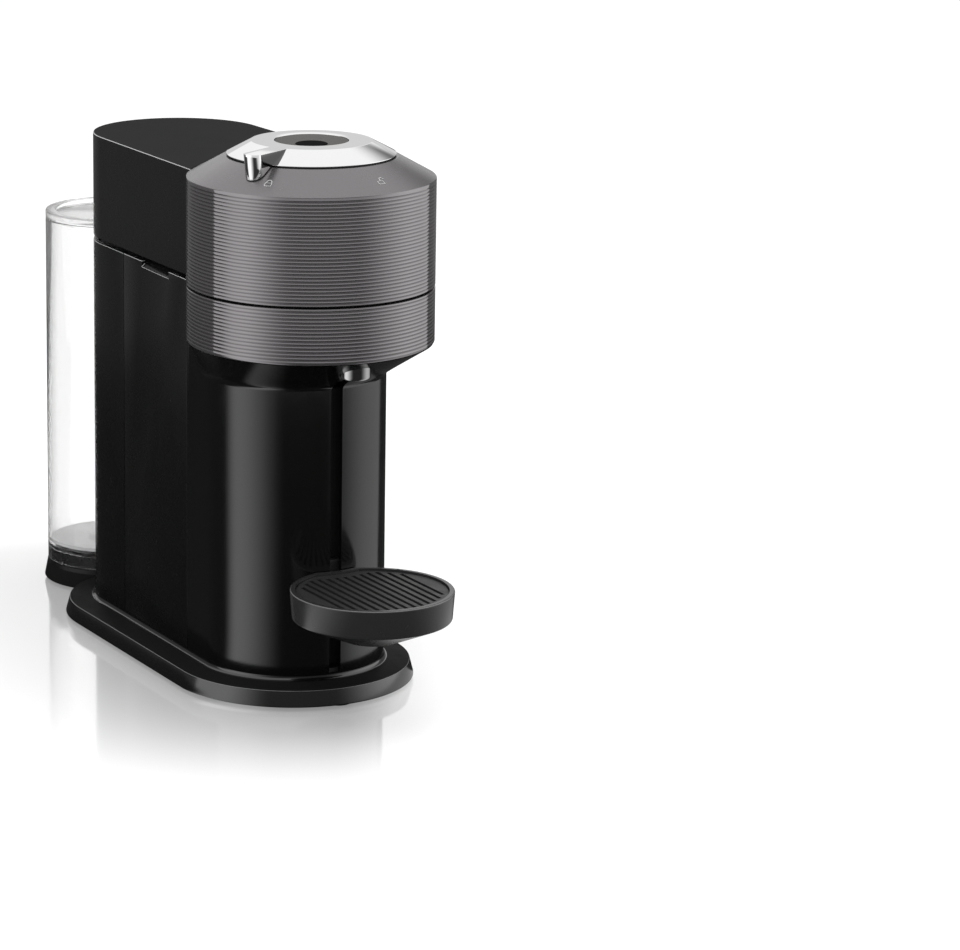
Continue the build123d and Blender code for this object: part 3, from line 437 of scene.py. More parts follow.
# Finishes, one for each of the record's material slots
satin_grain = (0.001 * MM, 2500.0)
soft_grain = (0.002 * MM, 2500.0)
plain_grain = (0.004 * MM, 2500.0)
gloss_grain = (0.0006 * MM, 900.0)
paint_grain = (0.0006 * MM, 3500.0)
polish_grain = (0.0003 * MM, 600.0)
clear_grain = (0.000005 * MM, 400.0)
grey_paint = ((0.222, 0.212, 0.219, 1), (0.232, 0.222, 0.229, 1))
satin_paint = ((0.203, 0.194, 0.200, 1), (0.212, 0.203, 0.209, 1))
# Colour of the painted shade in the head's grooves
painted_groove_shade = (0.124, 0.116, 0.122, 1)
board_lacquer = ((0.01, 0.09, 0.035, 1), (0.015, 0.12, 0.05, 1))
dish_grey = (grey(0.095, 0.03), grey(0.105, 0.03))
finishes = {
    "black_satin": finish("satin_black_moulding", (0.0045, 0.0060), (0.24, 0.30), satin_grain, dust=0.004,
                          Specular_IOR_Level=0.22),
    "black_gloss": finish("gloss_black_moulding", (0.0025, 0.0035), (0.13, 0.17), gloss_grain, dust=0.002,
                          Specular_IOR_Level=0.8),
    "head_grey": finish("metallic_grey_paint", grey_paint, (0.06, 0.09), paint_grain, groove=painted_groove_shade,
                        Metallic=0.82),
    "chrome": finish("polished_chrome", (0.90, 0.94), (0.03, 0.06), polish_grain, Metallic=1.0),
    "dish_grey": finish("dish_grey_satin", dish_grey, (0.3, 0.4), soft_grain, Specular_IOR_Level=0.0),
    "tray_grey": finish("tray_grey_satin", (0.018, 0.024), (0.22, 0.28), soft_grain, dust=0.004,
                        Specular_IOR_Level=0.5),
    "pale_grey": finish("pale_grey_moulding", (0.30, 0.36), (0.35, 0.5), plain_grain),
    "rubber": finish("black_rubber", (0.012, 0.02), (0.7, 0.85), (0.02 * MM, 1200.0)),
    "steel": finish("brushed_steel", (0.55, 0.62), (0.2, 0.3), (0.001 * MM, 1800.0), Metallic=1.0),
    "alloy": finish("cast_alloy", (0.42, 0.5), (0.4, 0.55), (0.02 * MM, 900.0), Metallic=1.0),
    "motor_grey": finish("zinc_plate", (0.36, 0.44), (0.3, 0.45), (0.005 * MM, 700.0), Metallic=1.0),
    "inner_black": finish("inner_black_moulding", (0.014, 0.02), (0.45, 0.6), (0.006 * MM, 2500.0)),
    "board_green": finish("board_lacquer", board_lacquer, (0.25, 0.4), plain_grain),
    "hose_clear": finish("milky_hose", (0.62, 0.7), (0.2, 0.35), soft_grain, Transmission_Weight=0.6),
    "clear": finish("clear_tank_plastic", (0.985, 1.0), (0.0, 0.002), clear_grain, rim=grey(0.5),
                    Transmission_Weight=1.0, IOR=1.49, Alpha=0.9),
}

# Finishes of single faces and of nodes that differ from their slot, with painted highlights, shade and
# reflections among them
shoulder_finish = finish("satin_grey_paint", satin_paint, (0.24, 0.28), paint_grain, Metallic=0.82)
# Painted shade: a matt copy of black without reflection for the foot's level faces and the drum's wall
painted_ledge_shade_finish = finish("matt_black_ledge", (0.008, 0.011), (0.4, 0.5), satin_grain, Specular_IOR_Level=0.01)
# Painted sheen: a lighter matt black without reflection for the cover's level top, in place of the top's
# reflection
painted_top_sheen_finish = finish("matt_black_top", (0.024, 0.027), (0.4, 0.5), satin_grain, Specular_IOR_Level=0.0)
# Painted reflection: a near-black copy of chrome for the lever's flanks, standing in for the dark they mirror
flank_dark_reflection_finish = finish("black_chrome", (0.08, 0.095), (0.08, 0.12), polish_grain, Metallic=1.0)
# Painted highlight: a light grey for the narrow faces along the upper edges of black plastic
edge_highlight_finish = finish("bright_edge", (0.40, 0.46), (0.2, 0.3), satin_grain)
# Painted highlight, softer: a dark grey for the narrow faces along the upper edges of the foot and the cup
# support
soft_edge_highlight_finish = finish("worn_edge", (0.10, 0.13), (0.2, 0.3), satin_grain)
mark_finish = finish("printed_mark", (0.46, 0.54), (0.4, 0.5), satin_grain)
own_finishes = {
    "base_foot": finish("foot_black_moulding", (0.003, 0.004), (0.13, 0.18), gloss_grain,
                        Specular_IOR_Level=1.0),
    # Painted reflection: a darker copy of chrome for the outlet, standing in for the darker surroundings it
    # mirrors
    "coffee_outlet": finish("dark_chrome", (0.46, 0.52), (0.04, 0.07), polish_grain, Metallic=1.0),
    "brew_button": finish("button_black", (0.008, 0.011), (0.4, 0.5), satin_grain, Specular_IOR_Level=0.0),
    "tank_floor_disc": finish("pale_disc_moulding", (0.68, 0.74), (0.35, 0.5), plain_grain),
}
slot_of = {part["node"]: part["material_slot"] for part in frame["record"]["subparts"]}
body_of = {node: body for body, nodes in frame["record"]["behaviour"]["bodies"].items() for node in nodes}


def dress(obj, node):
    """The piece takes a node's place: the finish of the node's slot and the node's body, and the node is
    hidden.
    """
    obj.data.materials.clear()
    obj.data.materials.append(own_finishes.get(node, finishes[slot_of[node]]))
    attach(obj, body_of[node])
    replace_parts(obj, node)
    return obj


def paint_faces(obj, material, chosen):
    """Gives the chosen faces a finish of their own."""
    obj.data.materials.append(material)
    for face in obj.data.polygons:
        if chosen(face):
            face.material_index = len(obj.data.materials) - 1


def edge_faces(obj, material, low=0.5, high=0.88, top=1.0):
    """Gives the narrow faces along rounded upper edges a finish of their own, a painted highlight."""
    def on_edge(face):
        corners = [obj.data.vertices[index].co for index in face.vertices]
        longest = max((corner - corners[index - 1]).length for index, corner in enumerate(corners))
        return low < face.normal.z < high and face.area < longest * edge_round and face.center.z < top

    paint_faces(obj, material, on_edge)


# Geometry node trees
dip_range = (-0.8, -2.0)


def shape_tree(name, inputs):
    """A geometry tree with its named inputs and both of its ends."""
    return new_group(name, "GeometryNodeTree", {"Geometry": "Geometry", **inputs, "Material": "Material"},
                     {"Geometry": "Geometry"})


def close_tree(graph, given, made, shape):
    """Ends a tree in plain faces that carry its material."""
    realize = graph.add("GeometryNodeRealizeInstances", Geometry=shape)
    paint = graph.add("GeometryNodeSetMaterial", Geometry=realize, Material=given["Material"])
    graph.join(made, Geometry=paint)
    return graph.tree


def shaped(obj, tree, **values):
    """Runs a geometry tree on the object and keeps the result as a plain mesh."""
    modifier = obj.modifiers.new(tree.name, "NODES")
    modifier.node_group = tree
    for socket in tree.interface.items_tree:
        key = socket.name.replace(" ", "_").lower()
        if socket.in_out == "INPUT" and key in values:
            modifier[socket.identifier] = values[key]
    return plain(obj)


def own_place(graph):
    """The three numbers of a point's place."""
    return graph.split(graph.add("GeometryNodeInputPosition"))


def ridge_tree():
    """Presses level ridges into the outer wall of a round piece, and stores where the grooves are for the
    painted groove shade.
    """
    sizes = ("Axis Y", "Radius", "Bottom", "Top", "Pitch", "Depth")
    graph, given, made = shape_tree("level_ridges", {name: "Float" for name in sizes})
    axis_y, radius, bottom, top, pitch, depth = (given[name] for name in sizes)
    sums = graph.sum
    place = own_place(graph)
    height = place["Z"]
    level = graph.add("CombineXYZ", place["X"], sums("SUBTRACT", place["Y"], axis_y))
    on_wall = sums("GREATER_THAN", graph.vector("LENGTH", level), sums("SUBTRACT", radius, depth))
    above = sums("GREATER_THAN", height, bottom)
    below = sums("LESS_THAN", height, top)
    in_band = sums("MULTIPLY", on_wall, sums("MULTIPLY", above, below))
    rise = sums("SUBTRACT", height, bottom)
    turns = sums("MULTIPLY", sums("DIVIDE", rise, pitch), full_turn)
    wave = sums("SUBTRACT", sums("COSINE", turns), 1.0)
    dip = graph.add("MapRange", wave, *dip_range)
    groove = sums("MULTIPLY", dip, in_band)
    inward = sums("MULTIPLY", sums("MULTIPLY", groove, depth), -1.0)
    move = graph.vector("SCALE", graph.vector("NORMALIZE", level), Scale=inward)
    # The groove share is kept for the finish, which paints shade into the grooves
    masked = graph.add("GeometryNodeStoreNamedAttribute", setup={"domain": "POINT", "data_type": "FLOAT"},
                       Geometry=given["Geometry"], Name="groove", Value=groove)
    pressed = graph.add("GeometryNodeSetPosition", Geometry=masked, Offset=move)
    return close_tree(graph, given, made, pressed)


def slot_row_tree():
    """A row of long slots whose lengths follow a circle."""
    sizes = ("Pitch", "Width", "Depth", "Radius")
    graph, given, made = shape_tree(
        "slot_row", {"Count": "Int", **{name: "Float" for name in sizes}, "Centre": "Vector"})
    pitch, width, depth, radius = (given[name] for name in sizes)
    sums = graph.sum
    reach = sums("MULTIPLY", sums("SUBTRACT", given["Count"], 1), -0.5)
    gap = graph.add("CombineXYZ", pitch)
    first = graph.add("CombineXYZ", sums("MULTIPLY", reach, pitch))
    line = graph.add("GeometryNodeMeshLine", Count=given["Count"], Offset=gap, Start_Location=first)
    left = sums("SUBTRACT", sums("POWER", radius, 2.0), sums("POWER", own_place(graph)["X"], 2.0))
    length = sums("MULTIPLY", sums("SQRT", left), 2.0)
    size = graph.add("CombineXYZ", width, length, depth)
    block = graph.add("GeometryNodeMeshCube", Size=(1, 1, 1))
    row = graph.add("GeometryNodeInstanceOnPoints", Points=line, Instance=block, Scale=size)
    shift = graph.add("GeometryNodeTransform", Geometry=row, Translation=given["Centre"])
    return close_tree(graph, given, made, shift)


def set_out_tree():
    """Sets one small part out on every point of the piece."""
    graph, given, made = shape_tree("set_out", {"Part": "Object"})
    part = graph.add("GeometryNodeObjectInfo", setup={"transform_space": "ORIGINAL"}, Object=given["Part"])
    spread = graph.add("GeometryNodeInstanceOnPoints", Points=given["Geometry"],
                       Instance=part.outputs["Geometry"])
    return close_tree(graph, given, made, spread)


level_ridges = ridge_tree()
slot_row = slot_row_tree()
set_out = set_out_tree()

# Brewing head: ridged shell with a conical shoulder, in front of the cover and hidden behind it
ridge_pitch = 2.0 * MM
ridge_depth = 0.10 * MM
ridge_margin = 0.6 * MM
rows_per_ridge = 8
inner_radius = head_radius - wall
shoulder_rise = 11.8 * MM
shoulder_round = 0.8 * MM
shoulder_top_radius = 48.2 * MM
shoulder_least = 0.6
level_least = 0.97
neck_radius = 46.8 * MM
shoulder_edge = head_high.z - shoulder_rise
shoulder_slope = shoulder_rise / (head_radius - shoulder_top_radius)
shoulder_inner = shoulder_edge - wall / 2
front_sweep = math.pi + 2 * join_angle
rear_sweep = math.pi - 2 * join_angle


def ridge_count(bottom, top):
    """How many whole ridges fill the wall."""
    return round((top - bottom) / ridge_pitch)


def ridge_rows(bottom, top):
    """Corners up the outer wall, close enough together to take the ridges."""
    rows = ridge_count(bottom, top) * rows_per_ridge
    return [(head_radius, bottom + (top - bottom) * step / rows) for step in range(rows + 1)]


def ridged(name, node, section, bottom, top):
    """A piece round the head's front, with ridges in its wall between two heights."""
    piece = skin(name, turn_stations(head_y, join_angle, -front_sweep), rounded(section), closed=False)
    shaped(piece, level_ridges, axis_y=head_y, radius=head_radius, bottom=bottom, top=top,
           pitch=(top - bottom) / ridge_count(bottom, top), depth=ridge_depth, material=finishes["head_grey"])
    return dress(piece, node)


def head_section(bottom, ridges):
    """The head shell's section above this height."""
    return [(inner_radius, bottom), (head_radius, bottom, edge_round), *ridges,
            (head_radius, shoulder_edge, shoulder_round), (shoulder_top_radius, head_high.z, edge_round),
            (neck_radius, head_high.z),
            (neck_radius, shoulder_inner + (inner_radius - neck_radius) * shoulder_slope),
            (inner_radius, shoulder_inner)]


ridge_low = head_low.z + ridge_margin
ridge_high = shoulder_edge - shoulder_round - ridge_margin
front_section = head_section(head_low.z, ridge_rows(ridge_low, ridge_high))
head_front = ridged("head_upper", "head_shell", front_section, ridge_low, ridge_high)
rear_section = head_section(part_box("brew_block")[0].z + fit_gap, [])
head_back = skin("head_upper_rear", turn_stations(head_y, join_angle, rear_sweep, segments // 3),
                 rounded(rear_section), closed=False)
dress(head_back, "head_shell")
for piece in (head_front, head_back):
    paint_faces(piece, shoulder_finish, lambda face: face.normal.z > shoulder_least)

# Lower half of the head
skirt_round = 1.5 * MM
skirt_lip = 9.0 * MM
skirt_hole = head_radius - skirt_lip
skirt_floor = skirt_low.z + 2.0 * MM
skirt_ridge_low = skirt_low.z + skirt_round + ridge_margin
skirt_ridge_high = skirt_high.z - ridge_margin
skirt_section = [
    (skirt_hole, skirt_low.z), (head_radius, skirt_low.z, skirt_round),
    *ridge_rows(skirt_ridge_low, skirt_ridge_high), (head_radius, skirt_high.z, edge_round),
    (inner_radius, skirt_high.z), (inner_radius, skirt_floor), (skirt_hole, skirt_floor)]
ridged("head_lower", "lower_head_ring", skirt_section, skirt_ridge_low, skirt_ridge_high)

# Neck: a flare of circles from the column out to the head
outlet_low, outlet_high, outlet_y, outlet_radius = round_node("coffee_outlet")
neck_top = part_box("neck_collar")[1].z
neck_steps = 24
neck_height = 22.6 * MM
neck_bend = 0.1
neck_blend = 0.10
flare_radius = head_radius - 0.6 * MM
slot_width = 7.2 * MM
slot_top = skirt_low.z - 13.7 * MM
slot_steps = 16


def flare_share(rise):
    """How far the neck has widened at this share of its height, before scaling."""
    return math.hypot(rise - neck_bend, neck_blend) + rise


def flare():
    """The neck as one closed flare, before the column is taken out of it."""
    circles = []
    for step in range(neck_steps + 1):
        rise = (step / neck_steps) ** 2
        share = (flare_share(rise) - flare_share(0)) / (flare_share(1) - flare_share(0))
        circles.append((column_y + (head_y - column_y) * share,
                        column_radius + (flare_radius - column_radius) * share,
                        skirt_low.z - neck_height * (1 - rise)))
    circles += [(head_y, skirt_hole - fit_gap, height) for height in (skirt_low.z, neck_top)]
    return lofted("neck", [[(*point, height) for point in arc(0, centre, radius, 0, full_turn, segments)[:-1]]
                           for centre, radius, height in circles])


def body_tool():
    """The whole body's plan, a little larger, as a cutting tool."""
    outline = front_outline + back_outline
    return lofted("tool", [[(*(point + way * fit_gap), height) for point, way in outline]
                           for height in (0, head_high.z)])


def slot_tool():
    """The upright slot of the cup support, round at its top."""
    half = slot_width / 2
    outline = [(-half, 0.0), (half, 0.0), *arc(0, slot_top - half, half, 0, math.pi, slot_steps)]
    return lofted("tool", [[(across, depth, height) for across, height in outline]
                           for depth in (column_y, head_y - column_radius)])


neck = boolean(flare(), "DIFFERENCE", body_tool(), slot_tool(),
               cylinder(outlet_y, outlet_radius + fit_gap, 0, head_high.z))
dress(neck, "neck_collar")


# Body shells: column, rear housing, the fixed panel and the bin's face
def body_shell(name, stations, low, high):
    """A wall along the body's outline between two heights."""
    section = [(-wall, low.z), (0, low.z, fine_round), (0, high.z, edge_round), (-wall, high.z)]
    return skin(name, stations, rounded(section, arc_steps // 2), closed=False)


bin_edge_range = (0.3, 0.95)
column_stations = with_sides(front_outline, column_high.y, 1)
rear_stations = with_sides(back_outline, rear_low.y, -1)
panel_stations = [side_station(panel_low.y, 1), side_station(panel_high.y, 1)]
column = boolean(body_shell("column", column_stations, column_low, column_high), "DIFFERENCE", slot_tool(),
                 cylinder(head_y, head_radius + fit_gap, skirt_low.z, head_high.z))
dress(column, "front_column")
# The rear, the panel and the bin get a painted highlight on the narrow faces along their upper edges
rear = dress(bevelled(body_shell("rear_shell", rear_stations, rear_low, rear_high)), "rear_housing")
edge_faces(rear, edge_highlight_finish)
panel = dress(bevelled(body_shell("side_panel", panel_stations, panel_low, panel_high)), "right_panel")
edge_faces(panel, edge_highlight_finish)
bin_piece = dress(bevelled(merged_copy("capsule_bin", "used_capsule_bin")), "capsule_bin")
edge_faces(bin_piece, edge_highlight_finish, *bin_edge_range)

# Cover of the hood: a wall round the back and a flat top that is cut round behind the head
window_half = 15.5 * MM
window_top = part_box("hood_floor")[1].z + 2.1 * MM
head_clear = head_radius + fit_gap
cover_start = head_y + math.sqrt(head_clear ** 2 - column_radius ** 2)


def cover_shell():
    """The cover's outer skin with its window for the hinge, given its thickness afterwards."""
    outline = with_sides(back_outline, cover_start, -1)
    crown = cover_high.z - shoulder_round
    heights = [(0.0, cover_low.z), (0.0, window_top),
               *arc(shoulder_round, crown, shoulder_round, math.pi, -quarter_turn, arc_steps)]
    window = [abs(point.x) < window_half and point.y > rear_y for point, _ in outline]
    bm = bmesh.new()
    rows = [[bm.verts.new((*(point - way * inset), height)) for point, way in outline]
            for inset, height in heights]
    for level, (row, following) in enumerate(zip(rows, rows[1:])):
        for index in range(len(outline) - 1):
            if level or not (window[index] and window[index + 1]):
                bm.faces.new((row[index], row[index + 1], following[index + 1], following[index]))
    first, last = rows[-1][0].co, rows[-1][-1].co
    start = math.atan2(last.y - head_y, last.x)
    sweep = math.atan2(first.y - head_y, first.x) - start
    inner = arc(0, head_y, head_clear, start, sweep, segments // 3)[1:-1]
    bm.faces.new(rows[-1] + [bm.verts.new((*point, cover_high.z)) for point in inner])
    obj = mesh_object("hood_cover", bm)
    if max(obj.data.polygons, key=lambda face: face.center.z).normal.z < 0:
        obj.data.flip_normals()
    thickness = obj.modifiers.new("wall", "SOLIDIFY")
    thickness.thickness = wall
    thickness.offset = -1
    return plain(obj)


cover = dress(cover_shell(), "top_cover")
# The cover's level top takes the painted sheen
paint_faces(cover, painted_top_sheen_finish, lambda face: face.normal.z > level_least)
# Painted highlight along the cover's upper edges
edge_faces(cover, edge_highlight_finish)

# Locking ring with its lever
ring_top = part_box("lever_ring")[1].z
ring_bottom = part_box("bayonet_sleeve")[1].z + 0.3 * MM
_, dish_high, _, dish_radius = round_node("button_dish")
ring_bore = dish_radius + 2 * fit_gap
ring_outer = shoulder_top_radius - 0.3 * MM
ring_top_radius = ring_outer - 14.2 * MM
ring_thickness = 3.0 * MM
lever_angle = math.radians(208.5)
lever_width = 11.3 * MM
lever_reach = 62.0 * MM
lever_corner = 5.3 * MM
lever_gap = 0.6 * MM
lever_draft = 2.7 * MM
lever_side_draft = 0.1
lever_round = 0.8 * soft_round
lever_round_steps = 4
lever_crown = ring_top - 1.5 * soft_round
flank_least = 0.97


def lever_outline(height):
    """The lever's plan: straight sides and a round end, drawn in a little towards its underside."""
    inset = lever_draft * (ring_top - height) / (ring_top - shoulder_edge)
    half = lever_width / 2 - inset * lever_side_draft
    start = ring_top_radius - ring_thickness
    reach = lever_reach - inset
    corners = [(start, -half), (reach, -half, lever_corner), (reach, half, lever_corner), (start, half)]
    turn = Matrix.Rotation(lever_angle, 2)
    return [(*(turn @ point + Vector((0, head_y))), height) for point in rounded(corners)]


def on_flank(face):
    """True for the lever's upright flanks, above the ring's lower edge."""
    side = Vector((-math.sin(lever_angle), math.cos(lever_angle), 0))
    clear = math.hypot(face.center.x, face.center.y - head_y) > ring_top_radius
    return clear and abs(face.normal.dot(side)) > flank_least and face.center.z > ring_bottom + edge_round


locking_ring = turned("locking_ring", head_y, [
    (ring_bore, ring_top - ring_thickness), (ring_bore, ring_top, fine_round),
    (ring_top_radius, ring_top, soft_round), (ring_outer, ring_bottom, fine_round),
    (ring_outer - 2 * ring_thickness, ring_bottom),
    (ring_top_radius - soft_round, ring_top - ring_thickness)])
shoulder_tool = turned("tool", head_y, [
    (0, head_low.z), (head_radius, head_low.z), (head_radius, shoulder_edge + lever_gap),
    (shoulder_top_radius, ring_bottom), (0, ring_bottom)])
lever_heights = (shoulder_edge, ring_bottom, lever_crown, ring_top)
lever = lofted("lever", [lever_outline(height) for height in lever_heights])
lever = bevelled(boolean(lever, "DIFFERENCE", shoulder_tool), lever_round, lever_round_steps)
dress(boolean(locking_ring, "UNION", lever), "lever_ring")
# The lever's upright flanks take the painted dark reflection
paint_faces(locking_ring, flank_dark_reflection_finish, on_flank)

# Dish and brewing button
dish_depth = 2.6 * MM
dish_rim = 0.7 * MM
dish_bore = button_radius + 0.3 * MM
dish_steps = 10
hollow = dish_radius - dish_rim
hollow_radius = (hollow ** 2 + dish_depth ** 2) / (2 * dish_depth)
dish_floor = dish_high.z - dish_depth
dish_bottom = dish_floor - 5.5 * MM
button_stem = 4.0 * MM
button_under = button_high.z - 2.6 * MM
button_top = button_high.z - 0.7 * MM
button_ring = 0.55 * button_radius
button_ring_dip = 0.15 * MM
button_dip = 0.2 * MM


def dish_curve(radius):
    """The height of the dish at this radius."""
    return dish_floor + hollow_radius - math.sqrt(hollow_radius ** 2 - radius ** 2)


dish_rows = [(hollow + (dish_bore - hollow) * step / dish_steps) for step in range(dish_steps + 1)]
dress(turned("button_surround", head_y, [
    (dish_bore, dish_bottom), (dish_radius, dish_bottom), (dish_radius, dish_high.z, fine_round),
    *[(radius, dish_curve(radius)) for radius in dish_rows]]), "button_dish")
dress(turned("brewing_button", head_y, [
    (0, button_low.z), (button_stem, button_low.z), (button_stem, button_under),
    (button_radius, button_under), (button_radius, button_top, edge_round),
    (button_ring, button_top - button_ring_dip), (0, button_top - button_dip)]), "brew_button")

# Coffee outlet and its nozzle
outlet_bore = outlet_radius - 2.0 * MM
outlet_round = 1.6 * MM
nozzle_low, nozzle_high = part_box("outlet_nozzle")
nozzle_bore = 3.0 * MM
dress(turned("coffee_spout", outlet_y, [
    (outlet_bore, outlet_low.z, edge_round), (outlet_radius, outlet_low.z, outlet_round),
    (outlet_radius, outlet_high.z), (outlet_bore, outlet_high.z)]), "coffee_outlet")
dress(turned("spout_nozzle", outlet_y, [
    (nozzle_bore, nozzle_low.z, edge_round), (outlet_bore, nozzle_low.z), (outlet_bore, nozzle_high.z),
    (nozzle_bore, nozzle_high.z - outlet_radius)]), "outlet_nozzle")

# Foot: skirt, sloping top and filleted collar, with the drum for the tank behind
foot_low, foot_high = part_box("base_foot")
seat_low, _, _, drum_radius = round_node("tank_seat")
tank_low, tank_high, tank_y, tank_radius = round_node("water_tank")
seat_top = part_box("valve_gasket")[0].z
foot_reach = foot_high.x - column_radius
foot_rear_share = (foot_reach + 0.6 * MM) / foot_reach
foot_draft = 2.4 * MM
foot_edge = foot_low.z + 9.2 * MM
foot_crest = foot_edge + 1.4 * MM
foot_fillet = 2.5 * MM
fillet_steps = 8
foot_wall = 3.0 * MM
foot_roof = foot_edge - 2.0 * MM
foot_inner = foot_reach - foot_draft - foot_wall
drum_inner = drum_radius - foot_wall
drum_top = seat_low.z


def drum_width(height):
    """The drum's radius, which narrows to the tank's at the top of the seat."""
    return drum_radius + (tank_radius - drum_radius) * (height - foot_low.z) / (seat_top - foot_low.z)


def on_ledge(face):
    """True for the foot's level faces and for the drum's wall."""
    spread = math.hypot(face.center.x, face.center.y - tank_y)
    return face.normal.z > level_least or tank_radius < spread < drum_radius + fit_gap


fillet = arc(foot_fillet, foot_crest + foot_fillet, foot_fillet, -quarter_turn, -quarter_turn, fillet_steps)
foot_stations = front_outline + [(point, way * foot_rear_share) for point, way in back_outline]
foot = skin("foot", foot_stations, rounded([
    (foot_inner, foot_low.z), (foot_reach, foot_low.z, edge_round),
    (foot_reach - foot_draft, foot_edge, edge_round), *fillet, (0, foot_high.z),
    (-foot_wall, foot_high.z), (-foot_wall, foot_roof), (foot_inner, foot_roof)]))
foot = boolean(foot, "DIFFERENCE", cylinder(tank_y, drum_radius + fit_gap, drum_top, head_high.z),
               cylinder(tank_y, drum_inner, 0, drum_top - foot_wall / 2))
drum = turned("drum", tank_y, [
    (drum_inner, foot_low.z), (drum_radius, foot_low.z, edge_round), (drum_width(drum_top), drum_top),
    (drum_inner, drum_top)])
dress(boolean(foot, "UNION", drum), "base_foot")
# Painted highlight along the skirt's upper edge
edge_faces(foot, soft_edge_highlight_finish, top=foot_edge + fit_gap)
# The foot's level faces and the drum's wall take the painted shade
paint_faces(foot, painted_ledge_shade_finish, on_ledge)

seat = merged_copy("tank_seat")
for vert in seat.data.vertices:
    spoke = Vector((vert.co.x, vert.co.y - tank_y))
    if spoke.length > tank_radius:
        spoke *= drum_width(vert.co.z) / spoke.length
        vert.co.x, vert.co.y = spoke.x, spoke.y + tank_y
dress(seat, "tank_seat")

# Cup support: a shallow bowl, hollow where it meets the column, on its arm
tray_low, tray_high, _, tray_radius = round_node("cup_support")
grid_low, grid_high, _, grid_radius = round_node("drip_grid")
carriage_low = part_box("support_carriage")[0]
tray_y = tray_low.y + tray_radius
tray_draft = 1.2 * MM
tray_belly_radius = 15.3 * MM
tray_belly_round = 3.0 * MM
tray_side_round = 1.4 * MM
tray_wall = 3.0 * MM
tray_floor = 2.5 * MM
tray_rim = tray_radius - tray_wall
tray_back = column_radius + 0.8 * MM
rim_bottom = tray_low.z + 12.5 * MM
bowl_floor = tray_low.z + tray_floor
bowl_top = tray_high.z + cut_margin
bowl_radius = tray_rim - 2.0 * MM
ledge = grid_low.z - 0.3 * MM
arm_half = slot_width / 2 - 0.3 * MM
arm_front = column_y - tray_back - tray_wall / 2
arm_top = carriage_low.z + 13.5 * MM
bowl = turned("tool", tray_y, [
    (0, bowl_floor), (tray_belly_radius, bowl_floor, soft_round),
    (bowl_radius, rim_bottom + tray_floor, soft_round), (bowl_radius, ledge), (tray_rim, ledge),
    (tray_rim, bowl_top), (0, bowl_top)])
bowl = boolean(bowl, "DIFFERENCE", cylinder(column_y, tray_back + tray_wall, 0, head_low.z))
tray = turned("cup_tray", tray_y, [
    (0, tray_low.z), (tray_belly_radius, tray_low.z, tray_belly_round),
    (tray_radius - tray_draft, rim_bottom, tray_side_round), (tray_radius, tray_high.z, soft_round),
    (0, tray_high.z)])
tray = boolean(tray, "DIFFERENCE", cylinder(column_y, tray_back, 0, head_low.z), bowl)
arm = box_tool((-arm_half, arm_front, carriage_low.z), (arm_half, carriage_low.y, arm_top))
dress(boolean(tray, "UNION", arm), "cup_support")
# Painted highlight along the cup support's upper edges
edge_faces(tray, soft_edge_highlight_finish)

# Slotted drip grid
grid_slots = 13
grid_pitch = 5.2 * MM
grid_slot = 2.4 * MM
grid_rim = 3.0 * MM
grid_back = tray_back + tray_wall + 0.3 * MM
slots = new_object("slots", bpy.data.meshes.new("slots"))
shaped(slots, slot_row, count=grid_slots, pitch=grid_pitch, width=grid_slot, depth=4 * grid_rim,
       radius=grid_radius - grid_rim, centre=(0, tray_y, grid_low.z), material=finishes["tray_grey"])
slots = boolean(slots, "DIFFERENCE", cylinder(column_y, grid_back + 2 * grid_rim, 0, head_low.z))
grid = turned("slotted_grid", tray_y, [
    (0, grid_low.z), (grid_radius, grid_low.z), (grid_radius, grid_high.z, edge_round), (0, grid_high.z)])
dress(boolean(grid, "DIFFERENCE", cylinder(column_y, grid_back, 0, head_low.z), slots), "drip_grid")

# Water tank and its lid
tank_wall = 2.2 * MM
tank_inner = tank_radius - tank_wall
tank_ledge = tank_inner - tank_wall
ledge_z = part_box("tank_floor_disc")[0].z
ledge_size = 2.0 * MM
lid_low, lid_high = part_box("tank_lid")
lid_inner = tank_radius - 6.5 * MM
lid_plate = 2.0 * MM
lid_seat = tank_high.z + 0.3 * MM
lid_floor = lid_high.z - 2.4 * MM
lid_under = lid_floor - lid_plate
lid_skirt = tank_radius - 4.4 * MM
lid_skirt_inner = lid_skirt - lid_plate
dress(turned("tank_tube", tank_y, [
    (tank_inner, tank_low.z, edge_round), (tank_radius, tank_low.z, edge_round),
    (tank_radius, tank_high.z, edge_round), (tank_inner, tank_high.z, edge_round), (tank_inner, ledge_z),
    (tank_ledge, ledge_z), (tank_ledge, ledge_z - ledge_size), (tank_inner, ledge_z - 2 * ledge_size)]),
    "water_tank")
dress(turned("tank_cover", tank_y, [
    (0, lid_floor), (lid_inner, lid_floor, soft_round), (lid_inner, lid_high.z, soft_round),
    (tank_radius, lid_high.z, soft_round), (tank_radius, lid_seat, edge_round), (lid_skirt, lid_seat),
    (lid_skirt, lid_low.z), (lid_skirt_inner, lid_low.z), (lid_skirt_inner, lid_under), (0, lid_under)]),
    "tank_lid")


# Screws and rubber pads under the foot, one part set out on each place
def islands(node):
    """The centre of each separate solid of a node, on its lowest plane."""
    bm = node_bmesh(node)
    left = set(bm.verts)
    centres = []
    while left:
        found = [left.pop()]
        for vert in found:
            for edge in vert.link_edges:
                other = edge.other_vert(vert)
                if other in left:
                    left.remove(other)
                    found.append(other)
        low = [min(vert.co[axis] for vert in found) for axis in range(3)]
        high = [max(vert.co[axis] for vert in found) for axis in range(3)]
        centres.append(((low[0] + high[0]) / 2, (low[1] + high[1]) / 2, low[2]))
    bm.free()
    return sorted(centres)


